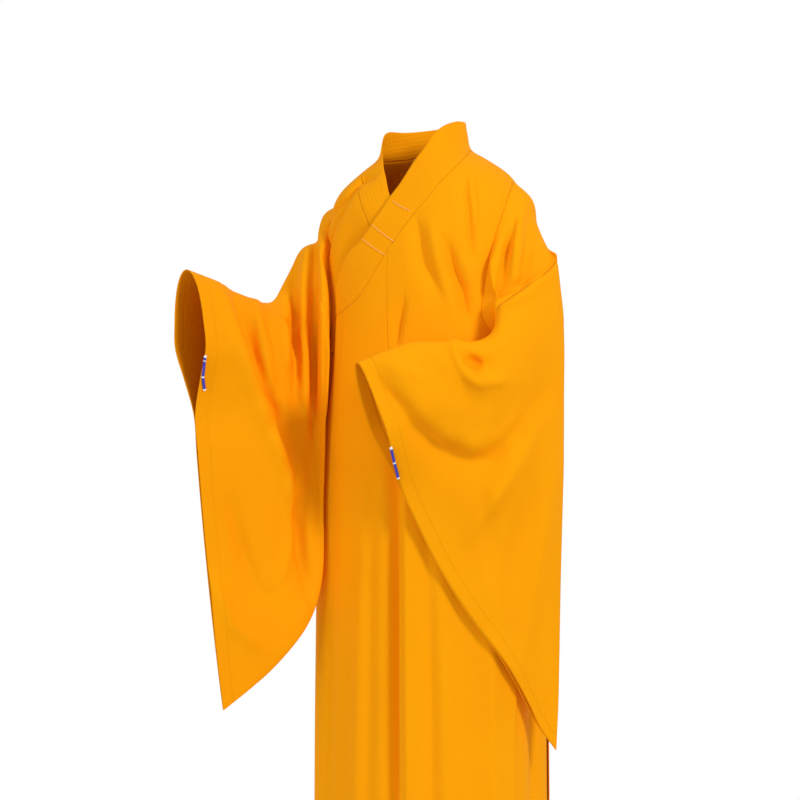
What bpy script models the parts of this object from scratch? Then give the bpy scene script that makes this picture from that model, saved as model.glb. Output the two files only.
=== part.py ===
# Wide-sleeved monk robe, worn, as a set of thin cloth walls.
# Metres, +Z up. The wearer faces -Y and the wearer's left is +X.
# The origin is the base of the neck, where the shoulders carry the robe.
import bpy
import numpy as np
from math import cos, pi, radians, sin

# Cloth and seams
WALL = 0.0015
GAP = 0.0003
SEAM_HALF_GAP = 0.0003
COLLAR_GAP = 0.0011
LAP = WALL + GAP
OUTER_LIFT = 0.0046
PANEL_STEPS = 9
OVERLAP_STEPS = 12
BELOW_ARM_ROWS = 12
SHOULDER_ROWS = 4
ROUND_SLEEVE = 36
ARM_ROWS = ROUND_SLEEVE // 2
HEM = -1.38
ARMPIT = -0.385

# The torso, a row for each level. Heights of its side, front and back, then its half sizes.
TORSO_COLUMNS = ("level", "side_up", "front_up", "back_up", "half_width", "front_depth", "back_depth", "shift")
TORSO = (
    (-1.380, -1.380, -1.380, -1.380, 0.224, 0.172, 0.166, 0.018),
    (-1.000, -1.000, -1.000, -1.000, 0.220, 0.170, 0.162, 0.018),
    (-0.640, -0.640, -0.640, -0.640, 0.212, 0.166, 0.152, 0.016),
    (-0.420, -0.420, -0.420, -0.420, 0.199, 0.155, 0.137, 0.012),
    (-0.300, -0.300, -0.300, -0.300, 0.194, 0.148, 0.126, 0.009),
    (-0.200, -0.190, -0.205, -0.195, 0.196, 0.138, 0.120, 0.006),
    (-0.120, -0.105, -0.135, -0.115, 0.191, 0.123, 0.112, 0.003),
    (-0.060, -0.052, -0.085, -0.052, 0.163, 0.105, 0.096, 0.000),
    (-0.025, -0.020, -0.050, -0.016, 0.119, 0.090, 0.082, 0.000),
    (0.000, 0.000, -0.022, 0.008, 0.089, 0.078, 0.072, 0.000),
    (0.030, 0.030, 0.008, 0.036, 0.080, 0.072, 0.068, 0.000),
    (0.060, 0.058, 0.036, 0.062, 0.075, 0.069, 0.067, 0.000),
)
TORSO_POWER = 2.3
SHOULDER_TILT = 0.06
TORSO_RADIUS = 0.20

# The collar band, a row for each station from the end under the overlap, round the neck, to the outer end.
COLLAR_COLUMNS = ("seam_angle", "seam_level", "edge_angle", "edge_level")
COLLAR = (
    (4.0, -0.235, 22.0, -0.165),
    (-12.0, -0.185, 12.0, -0.125),
    (-24.0, -0.140, 0.0, -0.090),
    (-34.0, -0.098, -12.0, -0.056),
    (-46.0, -0.060, -24.0, -0.024),
    (-56.0, -0.036, -44.0, 0.006),
    (-72.0, -0.020, -66.0, 0.040),
    (-95.0, -0.004, -92.0, 0.055),
    (-130.0, 0.000, -128.0, 0.056),
    (-180.0, 0.000, -180.0, 0.055),
    (-230.0, 0.000, -232.0, 0.056),
    (-265.0, -0.004, -270.0, 0.055),
    (-291.0, -0.022, -311.0, 0.048),
    (-316.0, -0.057, -332.5, 0.018),
    (-329.0, -0.085, -349.0, -0.012),
    (-342.5, -0.115, -362.0, -0.048),
    (-353.5, -0.147, -369.0, -0.070),
    (-363.5, -0.182, -378.0, -0.112),
    (-373.0, -0.220, -388.5, -0.160),
    (-382.5, -0.260, -399.0, -0.190),
    (-391.5, -0.285, -405.0, -0.225),
    (-407.0, -0.308, -409.0, -0.256),
)
SEAM_ANGLE = np.array([row[0] for row in COLLAR])
SEAM_STATION = np.linspace(0, 1, len(COLLAR))
SHOULDER_SEAM = -92.0
CROSSING = -364.0
OUTER_COLLAR_ROWS = 16
UNDERLAP_COLLAR_ROWS = 16

# Edges of the panels that hang below the collar, as angles from the front at each level.
CENTRE_SEAM_COLUMNS = ("level", "angle")
CENTRE_SEAM = ((-1.38, 6.5), (-0.90, 6.5), (-0.61, 6.0), (-0.45, 0.5), (-0.36, -2.5), (-0.25, -4.0), (-0.12, -4.0))
FREE_EDGE_COLUMNS = ("level", "angle")
FREE_EDGE = ((-1.38, -70.0), (-1.00, -69.0), (-0.655, -64.0), (-0.56, -57.0), (-0.465, -51.0),
             (-0.37, -47.5), (-0.308, -47.0))
UNDERLAP_EDGE_COLUMNS = ("level", "angle")
UNDERLAP_EDGE = ((-1.38, 30.0), (-0.42, 30.0), (-0.34, 26.0), (-0.27, 13.0), (-0.235, 4.0))
UNDER_DEPTH = 0.014
SIDE_SEAM = 90.0
SLIT_COLUMNS = ("level", "front_angle", "back_angle")
SLIT = ((-1.38, 69.5, 112.0), (-1.00, 70.5, 110.0), (-0.75, 76.0, 104.0), (-0.60, 83.0, 97.0), (-0.50, 90.0, 90.0))
GORE_TOP = -0.46
GORE_TUCK = 3.0
GORE_UNDER = 0.0033
GORE_DEPTH = 0.008
PLEAT_DEPTH = 0.012

# The armhole, once round from the armpit by way of the front, on the torso.
ARMHOLE_COLUMNS = ("turn", "angle", "level")
ARMHOLE = (
    (0.000, 90.0, -0.385),
    (0.080, 71.0, -0.365),
    (0.150, 58.5, -0.318),
    (0.230, 60.0, -0.265),
    (0.310, 64.5, -0.212),
    (0.390, 71.0, -0.160),
    (0.450, 80.0, -0.115),
    (0.500, 92.0, -0.083),
    (0.560, 106.0, -0.105),
    (0.640, 118.0, -0.155),
    (0.740, 124.0, -0.225),
    (0.840, 121.0, -0.295),
    (0.930, 108.0, -0.355),
    (1.000, 90.0, -0.385),
)

# The sleeves are placed in the three-quarter view. Across and up are in millimetres from the middle of that
# view, on the upright plane through the neck, and away is the distance behind that plane.
VIEW_TURN = radians(28.0)
EYE_DISTANCE = 3.5
VIEW_ACROSS = -0.0475
VIEW_UP = -0.4655
MM = 0.001

# A row for each loop of a sleeve bag. The loop runs from its inner point down the front layer to its outer
# point and back up behind. The bow moves its middle sideways, thin and thick give the space between layers.
SLEEVE_COLUMNS = ("in_across", "in_up", "in_away", "out_across", "out_up", "out_away", "bow", "thin", "thick",
                  "facing", "shut", "behind", "drop")
LEFT_SLEEVE = (
    (151, 158, -196, 296, 262, -140, 6, 34, 16, 20, 0, 62, 145),
    (154, 148, -207, 310, 133, -130, 10, 34, 24, 20, 0, 50, 100),
    (141, 137, -215, 310, 0, -130, 10, 30, 40, 20, 0, 35, 60),
    (118, 122, -220, 306, -152, -130, 8, 27, 52, 20, 0, 18, 25),
    (86, 112, -225, 304, -304, -132, 4, 24, 60, 20, 0, 5, 0),
    (28, 110, -230, 302, -456, -138, -8, 21, 64, 20, 0.1, 0, 0),
    (-28, 93, -235, 300, -570, -146, -24, 17, 66, 20, 0.55, 0, 0),
    (-82, 70, -240, 296, -665, -155, -42, 10, 66, 20, 1.0, 0, 0),
)
RIGHT_SLEEVE = (
    (-190, 281, 66, -131, 60, -45, 4, 44, 20, 20, 0, 60, 100),
    (-222, 218, 60, -134, -100, -52, 6, 36, 30, 28, 0, 45, 62),
    (-240, 188, 40, -138, -230, -55, 8, 30, 42, 36, 0, 30, 32),
    (-264, 184, 10, -150, -350, -62, 8, 27, 52, 42, 0, 15, 12),
    (-292, 194, -30, -180, -432, -80, 6, 24, 58, 47, 0, 4, 0),
    (-330, 212, -80, -236, -503, -100, 0, 20, 60, 50, 0.1, 0, 0),
    (-370, 232, -130, -290, -552, -122, -4, 16, 60, 50, 0.55, 0, 0),
    (-406, 247, -170, -336, -589, -145, -8, 9, 60, 50, 1.0, 0, 0),
)
HAND_OPENING = 0.20
LAYER_SPACE = 0.0012
CREST_TUCK = 0.022
SEAM_ROW = 0.012
SLEEVE_SEAM_GAP = 0.0013
BACK_CLEARANCE = 0.012
FRONT_CLEARANCE = 0.020
UPPER_CLEARANCE = 0.0045
UPPER_STEP = 0.003
SLEEVE_PUFF = 0.018
SLEEVE_ROWS = 17
UPPER_ROWS = 6
LEFT_ARMPIT_STEP = 30
RIGHT_ARMPIT_STEP = 21
EVEN_REACH = 0.4
EVEN_TURN = 0.55
EVEN_ROWS = 16
EVEN_PASSES = 40
LEFT_SEAM_LOOP = 4
RIGHT_SEAM_LOOP = 3

# Folds, each a route, the width of its left and right banks, and a rise, which stands out where it is positive.
LEFT_SLEEVE_FOLDS = (
    (((99, 112), (104, 91), (114, 66), (129, 44), (152, 30), (190, 34), (204, 50)), 16, 16, 14),
    (((118, 84), (136, 72), (158, 68)), 16, 16, -14),
    (((-38, 38), (28, -53), (76, -95), (133, -118), (171, -110), (218, -57), (276, 19), (300, 114)), 34, 34, -14),
    (((266, -38), (218, -133), (180, -190), (127, -266)), 40, 40, 12),
    (((-30, 90), (10, 40), (60, 0), (110, -40)), 34, 34, 7),
    (((294, -114), (256, -342), (228, -513)), 34, 34, 6),
    (((110, -300), (170, -420), (235, -560)), 30, 30, -7),
)
RIGHT_SLEEVE_FOLDS = (
    (((-338, 209), (-317, 152), (-298, 95), (-276, 28), (-247, -38), (-213, -137), (-194, -186)), 40, 9, 17),
    (((-316, 200), (-296, 140), (-275, 80), (-255, 20), (-228, -50), (-196, -140)), 9, 12, -12),
    (((-274, 186), (-262, 95), (-240, 4)), 14, 10, 14),
    (((-222, 176), (-218, 104), (-217, 60)), 20, 14, 14),
    (((-206, 218), (-196, 150), (-196, 60), (-200, 0)), 8, 8, -12),
    (((-179, 304), (-184, 152), (-180, -60)), 12, 10, 10),
    (((-160, 327), (-165, 190), (-165, -60)), 9, 9, -12),
    (((-141, 304), (-144, 152), (-148, -60)), 12, 12, 9),
    (((-215, -137), (-194, -171), (-167, -184)), 12, 16, 10),
    (((-170, -186), (-194, -224), (-208, -256), (-196, -314), (-182, -365)), 14, 22, -7),
    (((-319, -190), (-304, -266), (-270, -361), (-243, -380)), 26, 26, -8),
    (((-355, -342), (-319, -428), (-262, -475)), 26, 26, 6),
)
UPPER_LEFT_FOLDS = (
    (((222, 357), (209, 314), (200, 266), (188, 190)), 14, 12, -12),
    (((232, 362), (224, 314), (217, 240)), 12, 12, 8),
    (((247, 370), (246, 294), (240, 209)), 12, 12, -7),
    (((196, 300), (180, 250), (166, 200)), 12, 12, 7),
)
UPPER_RIGHT_FOLDS = (
    (((-150, 350), (-179, 304), (-186, 230)), 14, 12, 9),
    (((-130, 345), (-158, 300), (-163, 190)), 10, 10, -10),
    (((-118, 330), (-141, 290), (-145, 170)), 12, 12, 8),
)
# On the torso the routes are angles and levels, and the banks and rise are in millimetres.
TORSO_FOLDS = (
    (((58, -0.060), (55, -0.105), (54, -0.177), (54, -0.217)), 12, 9, -7),
    (((40, -0.190), (43.5, -0.235), (48, -0.270), (50, -0.318)), 20, 14, -13),
    (((19.5, -0.132), (25, -0.220), (35, -0.275)), 24, 24, -8),
    (((30, -0.150), (35, -0.220), (42, -0.300)), 18, 18, 7),
    (((10, -0.290), (4, -0.370)), 20, 10, -7),
    (((-37, -0.030), (-52, -0.040), (-56, -0.075), (-66, -0.105), (-74, -0.130)), 12, 12, -7),
    (((-50, -0.060), (-56, -0.115), (-64, -0.160), (-70, -0.200)), 12, 12, -6),
    (((4.0, -0.560), (4.5, -0.800), (4.5, -1.380)), 26, 5, -10),
    (((12.0, -0.520), (13.0, -0.800), (14.0, -1.380)), 9, 34, 10),
    (((40, -0.620), (42, -0.900), (44, -1.380)), 40, 40, -8),
    (((-30, -0.520), (-32, -0.900), (-34, -1.380)), 44, 44, -7),
    (((-56, -0.480), (-58, -0.900), (-60, -1.380)), 26, 26, 6),
    (((150, -0.140), (148, -0.500), (146, -1.380)), 26, 26, -12),
    (((168, -0.300), (166, -0.700), (165, -1.380)), 24, 24, 9),
    (((-150, -0.160), (-147, -0.600), (-145, -1.380)), 26, 26, -11),
    (((-166, -0.340), (-165, -0.700), (-163, -1.380)), 24, 24, 8),
    (((128, -0.420), (128, -0.800), (127, -1.380)), 24, 24, 9),
    (((-126, -0.420), (-127, -0.800), (-126, -1.380)), 24, 24, 9),
)

CLOTH = (1.0, 0.41, 0.0, 1.0)
CLOTH_SHADES = {"back": 0.88, "front": 1.0, "overlap": 0.95, "collar": 1.0, "sleeve": 0.97, "gore": 0.82}


def column(table, names, name):
    """One named column of a table."""
    return np.array([row[names.index(name)] for row in table], float)


def spline(keys, values, at):
    """Smooth curve through the values at rising keys."""
    at = np.clip(np.asarray(at, float), keys[0], keys[-1])
    steps = np.diff(keys)
    slopes = np.diff(values) / steps
    tangents = np.empty_like(values)
    tangents[1:-1] = (slopes[:-1] * steps[1:] + slopes[1:] * steps[:-1]) / (steps[:-1] + steps[1:])
    tangents[0] = slopes[0]
    tangents[-1] = slopes[-1]
    k = np.clip(np.searchsorted(keys, at, side="right") - 1, 0, len(keys) - 2)
    h = steps[k]
    t = (at - keys[k]) / h
    start = (2 * t**3 - 3 * t**2 + 1) * values[k] + (t**3 - 2 * t**2 + t) * h * tangents[k]
    end = (3 * t**2 - 2 * t**3) * values[k + 1] + (t**3 - t**2) * h * tangents[k + 1]
    return start + end


def read(table, names, name, at):
    """A column of a table, smoothed between rows that are evenly spaced from 0 to 1."""
    values = column(table, names, name)
    return spline(np.linspace(0, 1, len(values)), values, at)


def ease(value):
    """Smooth step from 0 to 1."""
    value = np.clip(value, 0, 1)
    return value * value * (3 - 2 * value)


def torso(angle, level):
    """Point of the plain torso surface. The angle is 0 at the front and 90 at the wearer's left."""
    angle, level = np.broadcast_arrays(np.asarray(angle, float), np.asarray(level, float))
    keys = column(TORSO, TORSO_COLUMNS, "level")
    side_up, front_up, back_up, half_width, front_depth, back_depth, shift = [
        spline(keys, column(TORSO, TORSO_COLUMNS, name), level) for name in TORSO_COLUMNS[1:]]
    across = np.sin(np.radians(angle))
    ahead = np.cos(np.radians(angle))
    depth = np.where(ahead > 0, front_depth, back_depth)
    middle_up = np.where(ahead > 0, front_up, back_up)
    power = TORSO_POWER
    radius = ((np.abs(across) / half_width) ** power + (np.abs(ahead) / depth) ** power) ** (-1 / power)
    tilt = SHOULDER_TILT * radius * across * ease((level + 0.35) / 0.28)
    up = side_up * across**2 + middle_up * ahead**2 + tilt
    return np.stack([radius * across + shift, -radius * ahead, up], -1)


def fold_rise(points, folds):
    """Height that the folds add at flat points, from the distance to each route."""
    rise = np.zeros(points.shape[:-1])
    for route, left_bank, right_bank, height in folds:
        route = np.array(route, float)
        best = np.full(rise.shape, 1e9)
        side = np.zeros(rise.shape)
        along = np.zeros(rise.shape)
        lengths = np.linalg.norm(np.diff(route, axis=0), axis=1)
        total = lengths.sum()
        done = 0.0
        for start, end, length in zip(route[:-1], route[1:], lengths):
            run = (end - start) / length
            offset = points - start
            t = np.clip(offset @ run, 0, length)
            away = offset - t[..., None] * run
            distance = np.linalg.norm(away, axis=-1)
            turn = away[..., 0] * run[1] - away[..., 1] * run[0]
            nearer = distance < best
            best = np.where(nearer, distance, best)
            side = np.where(nearer, turn, side)
            along = np.where(nearer, (done + t) / total, along)
            done += length
        bank = np.where(side > 0, left_bank, right_bank)
        taper = 0.35 + 0.65 * np.sin(pi * np.clip(along, 0, 1)) ** 0.7
        rise += height * taper * np.exp(-(best / bank) ** 2)
    return rise


def torso_cloth(angle, level, lift):
    """Torso points with their folds, moved out by the lift."""
    angle, level, lift = np.broadcast_arrays(angle, level, lift)
    small = 0.25
    tiny = 0.0015
    base = torso(angle, level)
    over = torso(angle + small, level) - torso(angle - small, level)
    up = torso(angle, level + tiny) - torso(angle, level - tiny)
    outward = np.cross(over, up)
    outward /= np.linalg.norm(outward, axis=-1)[..., None]
    routes = [([(radians(a) * TORSO_RADIUS / MM, l / MM) for a, l in route], *rest) for route, *rest in TORSO_FOLDS]
    turned = (angle + 180) % 360 - 180
    rise = np.zeros(angle.shape)
    for lap in (-360, 0, 360):
        flat = np.stack([np.radians(turned + lap) * TORSO_RADIUS / MM, level / MM], -1)
        rise += fold_rise(flat, routes)
    return base + outward * (rise * MM + lift)[..., None]


def from_view(across, up, away):
    """Place a point given in the three-quarter view."""
    spread = (EYE_DISTANCE + away) / EYE_DISTANCE
    side = across * spread + VIEW_ACROSS
    x = side * cos(VIEW_TURN) - away * sin(VIEW_TURN)
    y = side * sin(VIEW_TURN) + away * cos(VIEW_TURN)
    return np.stack([x, y, up * spread + VIEW_UP], -1)


def in_view(points):
    """Across and up, in millimetres, where a point shows in the three-quarter view."""
    side = points[..., 0] * cos(VIEW_TURN) + points[..., 1] * sin(VIEW_TURN)
    away = points[..., 1] * cos(VIEW_TURN) - points[..., 0] * sin(VIEW_TURN)
    spread = (EYE_DISTANCE + away) / EYE_DISTANCE * MM
    return np.stack([(side - VIEW_ACROSS) / spread, (points[..., 2] - VIEW_UP) / spread], -1)


def clear_of_torso(points, clearance):
    """Push points out sideways until they clear the torso, with a soft start."""
    level = np.clip(points[..., 2], HEM, -0.14)
    keys = column(TORSO, TORSO_COLUMNS, "level")
    shift = spline(keys, column(TORSO, TORSO_COLUMNS, "shift"), level)
    x = points[..., 0] - shift
    y = points[..., 1]
    angle = np.degrees(np.arctan2(x, -y))
    wall = torso_cloth(angle, level, 0.0)
    needed = np.hypot(wall[..., 0] - shift, wall[..., 1]) + clearance
    radius = np.hypot(x, y)
    soft = 0.004
    grown = needed + soft * np.log1p(np.exp(np.clip((radius - needed) / soft, -50, 50)))
    scale = np.where(radius > needed + 8 * soft, 1.0, grown / radius)
    moved = points.copy()
    moved[..., 0] = x * scale + shift
    moved[..., 1] = y * scale
    return moved


def armhole(side, turn):
    """Angle and level on the armhole of one side, at a turn from the armpit."""
    turns = column(ARMHOLE, ARMHOLE_COLUMNS, "turn")
    turn = np.asarray(turn, float) % 1.0
    angle = spline(turns, column(ARMHOLE, ARMHOLE_COLUMNS, "angle"), turn)
    level = spline(turns, column(ARMHOLE, ARMHOLE_COLUMNS, "level"), turn)
    return side * angle, level


def bag_loop(table, at, around):
    """Loops of a sleeve bag. A half turn of around is the front layer, the rest the back layer."""
    at = np.asarray(at, float)[:, None]
    around = np.asarray(around, float)[None, :]
    part = {name: read(table, SLEEVE_COLUMNS, name, at) for name in SLEEVE_COLUMNS}
    inner = from_view(part["in_across"] * MM, part["in_up"] * MM, part["in_away"] * MM)
    outer = from_view(part["out_across"] * MM, part["out_up"] * MM, part["out_away"] * MM)
    down = (1 - np.cos(around)) / 2
    swell = np.sin(around)
    line = inner + (outer - inner) * down[..., None]
    open_share = 1 - part["shut"] * ease((down - HAND_OPENING) / 0.10)
    space = (part["thin"] + part["thick"] * (1 - down) ** 2) * MM * open_share + LAYER_SPACE
    facing = np.radians(part["facing"])
    view_side = np.array([cos(VIEW_TURN), sin(VIEW_TURN), 0.0])
    view_away = np.array([-sin(VIEW_TURN), cos(VIEW_TURN), 0.0])
    front = np.sin(facing)[..., None] * view_side - np.cos(facing)[..., None] * view_away
    bow = 4 * down * (1 - down) * part["bow"] * MM
    points = line + front * (space * swell)[..., None] + view_side * bow[..., None]
    behind = np.clip(-swell, 0, 1) ** 0.8 * MM
    points = points + view_away * (part["behind"] * behind)[..., None]
    points[..., 2] -= part["drop"] * behind
    return points


def layer_clearance(around):
    """Room kept to the torso, more under the front layer, which lies over the back layer."""
    return BACK_CLEARANCE + (FRONT_CLEARANCE - BACK_CLEARANCE) * ease(0.5 + np.sin(around) * 2)


def sleeve_points(table, folds, at, around):
    """A sleeve bag with its folds, clear of the torso."""
    points = bag_loop(table, at, around)
    is_front = np.clip(np.sin(around), 0, 1)[None, :] ** 0.3
    rise = fold_rise(in_view(points), folds) * MM * is_front
    outward = loop_normals(points)
    points = points + outward * rise[..., None]
    return clear_of_torso(points, layer_clearance(around))


def loop_normals(points):
    """Outward unit normals of a grid whose rows are closed loops."""
    along = np.gradient(points, axis=0)
    around = np.roll(points, -1, axis=1) - np.roll(points, 1, axis=1)
    normal = np.cross(along, around)
    normal /= np.linalg.norm(normal, axis=-1)[..., None] + 1e-12
    centre = points.mean(axis=1, keepdims=True)
    facing = np.sum(normal * (points - centre), axis=(1, 2))
    return normal * np.where(facing.sum() < 0, -1.0, 1.0)


def add_cloth(name, points, closed, shade, outward=None):
    """A named wall of cloth from a grid of points on its inner face."""
    rows, steps = points.shape[:2]
    turns = steps if closed else steps - 1
    faces = []
    for row in range(rows - 1):
        for step in range(turns):
            after = (step + 1) % steps
            faces.append((row * steps + step, row * steps + after, (row + 1) * steps + after, (row + 1) * steps + step))
    mesh = bpy.data.meshes.new(name)
    mesh.from_pydata(points.reshape(-1, 3).tolist(), [], faces)
    middle = np.zeros(3) if outward is None else outward
    facing = 0.0
    for polygon in mesh.polygons:
        out = np.array(polygon.center) - middle
        if closed:
            row = polygon.index // turns
            out = np.array(polygon.center) - points[row:row + 2].mean(axis=(0, 1))
        else:
            out[2] = 0
        facing += float(np.dot(np.array(polygon.normal), out))
    if facing < 0:
        mesh.flip_normals()
    mesh.shade_smooth()
    cloth = bpy.data.objects.new(name, mesh)
    parts.objects.link(cloth)
    wall = cloth.modifiers.new("wall", "SOLIDIFY")
    wall.thickness = WALL
    wall.offset = 1.0
    material = bpy.data.materials.new(name + "_cloth")
    material.use_nodes = True
    shader = material.node_tree.nodes["Principled BSDF"]
    shader.inputs["Base Color"].default_value = [c * CLOTH_SHADES[shade] for c in CLOTH[:3]] + [1.0]
    shader.inputs["Roughness"].default_value = 0.75
    mesh.materials.append(material)
    return cloth


def panel_side(side, face):
    """Outer edge of a panel from the hem to the neck. Face 1 is the front, -1 the back."""
    slit_level = column(SLIT, SLIT_COLUMNS, "level")
    slit_angle = column(SLIT, SLIT_COLUMNS, "front_angle" if face > 0 else "back_angle")
    low = HEM + (ARMPIT - HEM) * np.linspace(0, 1, BELOW_ARM_ROWS + 1)[:-1]
    low_edge = np.where(low < slit_level[-1], spline(slit_level, slit_angle, low), SIDE_SEAM)
    turns = np.arange(ARM_ROWS + 1) / ROUND_SLEEVE
    arm_edge, arm = armhole(1, turns if face > 0 else 1 - turns)
    neck = np.interp(-SHOULDER_SEAM, -SEAM_ANGLE, SEAM_STATION)
    top = read(COLLAR, COLLAR_COLUMNS, "seam_level", neck)
    share = np.linspace(0, 1, SHOULDER_ROWS + 1)[1:]
    high = arm[-1] + (top - arm[-1]) * share
    high_edge = arm_edge[-1] + (-SHOULDER_SEAM - arm_edge[-1]) * share
    return np.concatenate([low_edge, arm_edge, high_edge]), np.concatenate([low, arm, high])


def seam_point(at):
    """Angle and level of the collar seam at stations from 0 to 1, with the angle within a half turn."""
    angle = read(COLLAR, COLLAR_COLUMNS, "seam_angle", at)
    return (angle + 180) % 360 - 180, read(COLLAR, COLLAR_COLUMNS, "seam_level", at)


def station(seam_angle):
    """Collar station at an angle of the seam, counted down from the end under the overlap."""
    return float(np.interp(-seam_angle, -SEAM_ANGLE, SEAM_STATION))


def collar_stations():
    """Stations of the collar band, by the panel that each stretch is sewn to."""
    right_shoulder = station(SHOULDER_SEAM)
    middle = station(-180.0)
    left_shoulder = station(-360.0 - SHOULDER_SEAM)
    crossing = station(CROSSING)
    return {
        "front_right": np.linspace(0, right_shoulder, UNDERLAP_COLLAR_ROWS + 1),
        "back_right": np.linspace(right_shoulder, middle, PANEL_STEPS + 1),
        "back_left": np.linspace(middle, left_shoulder, PANEL_STEPS + 1),
        "front_left": np.linspace(left_shoulder, crossing, OUTER_COLLAR_ROWS + 1),
        "front_overlap": np.linspace(crossing, 1, OVERLAP_STEPS + 1),
    }


def outer_lift(angle, level):
    """How far the outer front lies above the torso's own surface, the same at every level."""
    return OUTER_LIFT * (1 - ease((angle - 42) / 30)) + np.zeros_like(level)


def under_lift(angle, level):
    """How far the right front lies within it, where the outer front covers it."""
    return -UNDER_DEPTH * ease((angle + 58) / 20) * ease((-0.09 - level) / 0.09)


def panel(first, last, steps, lift=None):
    """Torso points on rows between two edges, each given as angles and levels."""
    share = np.linspace(0, 1, steps + 1)[None, :]
    angle = first[0][:, None] + (last[0] - first[0])[:, None] * share
    level = first[1][:, None] + (last[1] - first[1])[:, None] * share
    return torso_cloth(angle, level, lift(angle, level) if lift else 0.0)


def inset(edge, direction):
    """An edge moved by half of a seam's gap, in degrees at its own radius."""
    radius = np.linalg.norm(torso(edge[0], edge[1])[..., :2], axis=-1)
    return edge[0] + direction * np.degrees(SEAM_HALF_GAP / np.minimum(radius, 0.17)), edge[1]


def centre_seam(levels):
    """The centre-front seam at the given levels."""
    keys = column(CENTRE_SEAM, CENTRE_SEAM_COLUMNS, "level")
    return spline(keys, column(CENTRE_SEAM, CENTRE_SEAM_COLUMNS, "angle"), levels), levels


def join(low, high):
    """Two stretches of an edge, one above the other."""
    return np.concatenate([low[0], high[0]]), np.concatenate([low[1], high[1]])


def add_backs():
    """The two halves of the back, joined at the centre-back seam."""
    stations = collar_stations()
    for side, name in ((1, "back_left"), (-1, "back_right")):
        angle, level = panel_side(side, -1)
        neck_angle, neck_level = seam_point(stations[name][::-side])
        neck_angle = np.where(np.abs(neck_angle) > 179.9, 180.0, np.abs(neck_angle))
        first = inset((angle, level), 1)
        last = inset((np.full(angle.shape, 180.0), level), -1)
        share = ((neck_angle - neck_angle[0]) / (neck_angle[-1] - neck_angle[0]))[None, :]
        angles = first[0][:, None] + (last[0] - first[0])[:, None] * share
        levels = np.repeat(level[:, None], share.size, axis=1)
        toward_neck = np.clip((levels - levels[-5]) / (levels[-1] - levels[-5]), 0, 1)
        levels = levels + toward_neck * (neck_level - neck_level[0])[None, :]
        add_cloth(name, torso_cloth(side * angles, levels, 0.0), False, "back")


def outer_edge():
    """Inner edge of the left front: the centre-front seam and then the collar seam."""
    _, level = panel_side(1, 1)
    below = BELOW_ARM_ROWS + 1
    crossing_level = seam_point(np.array([station(CROSSING)]))[1][0]
    count = level.size - below - OUTER_COLLAR_ROWS
    above = level[below - 1] + (crossing_level - level[below - 1]) * np.linspace(0, 1, count + 1)[1:]
    seam = centre_seam(np.concatenate([level[:below], above]))
    collar = seam_point(collar_stations()["front_left"][::-1][1:])
    return seam, collar


def add_left_front():
    """The outer front from the centre-front seam and the collar to the side."""
    first = inset(join(*outer_edge()), 1)
    last = inset(panel_side(1, 1), -1)
    add_cloth("front_left", panel(first, last, PANEL_STEPS + 4, outer_lift), False, "front")


def add_overlap():
    """The outer front's extension, from its free edge at the wearer's right to the centre-front seam."""
    seam, _ = outer_edge()
    last = inset(seam, -1)
    share_up = ((seam[1] - HEM) / (seam[1][-1] - HEM))[:, None]
    top_angle, top_level = seam_point(collar_stations()["front_overlap"][::-1])
    level = HEM + (top_level[None, :] - HEM) * share_up
    free = spline(column(FREE_EDGE, FREE_EDGE_COLUMNS, "level"),
                  column(FREE_EDGE, FREE_EDGE_COLUMNS, "angle"), level[:, 0])
    share = ((top_angle - top_angle[0]) / (top_angle[-1] - top_angle[0]))[None, :]
    angle = free[:, None] + (last[0] - free)[:, None] * share
    add_cloth("front_overlap", torso_cloth(angle, level, outer_lift(angle, level)), False, "overlap")


def add_underlap():
    """The right front, which goes under the outer front."""
    side_angle, side_level = panel_side(-1, 1)
    first = inset((-side_angle, side_level), 1)
    below = BELOW_ARM_ROWS + 1
    collar = seam_point(collar_stations()["front_right"])
    count = side_level.size - below - UNDERLAP_COLLAR_ROWS - 1
    above = side_level[below - 1] + (collar[1][0] - side_level[below - 1]) * np.linspace(0, 1, count + 2)[1:-1]
    levels = np.concatenate([side_level[:below], above])
    keys = column(UNDERLAP_EDGE, UNDERLAP_EDGE_COLUMNS, "level")
    free = spline(keys, column(UNDERLAP_EDGE, UNDERLAP_EDGE_COLUMNS, "angle"), levels), levels
    last = join(free, collar)
    add_cloth("front_right", panel(first, last, PANEL_STEPS, under_lift), False, "front")


def add_gores():
    """The pleated gores that fill the side slits."""
    for side, name in ((1, "gore_left"), (-1, "gore_right")):
        front_edge, level = panel_side(side, 1)
        back_edge, _ = panel_side(side, -1)
        low = level < GORE_TOP
        levels = level[low]
        share = np.linspace(-1, 1, 9)[None, :]
        middle = (front_edge[low] + back_edge[low])[:, None] / 2
        half = (back_edge[low] - front_edge[low])[:, None] / 2 + GORE_TUCK
        angle = middle + half * share
        deep = ease((GORE_TOP - levels) / 0.35)[:, None]
        lift = -GORE_UNDER - GORE_DEPTH * deep * (1 - share**2) - PLEAT_DEPTH * deep * np.exp(-(share / 0.28) ** 2)
        add_cloth(name, torso_cloth(side * angle, np.broadcast_to(levels[:, None], angle.shape), lift), False, "gore")


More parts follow.
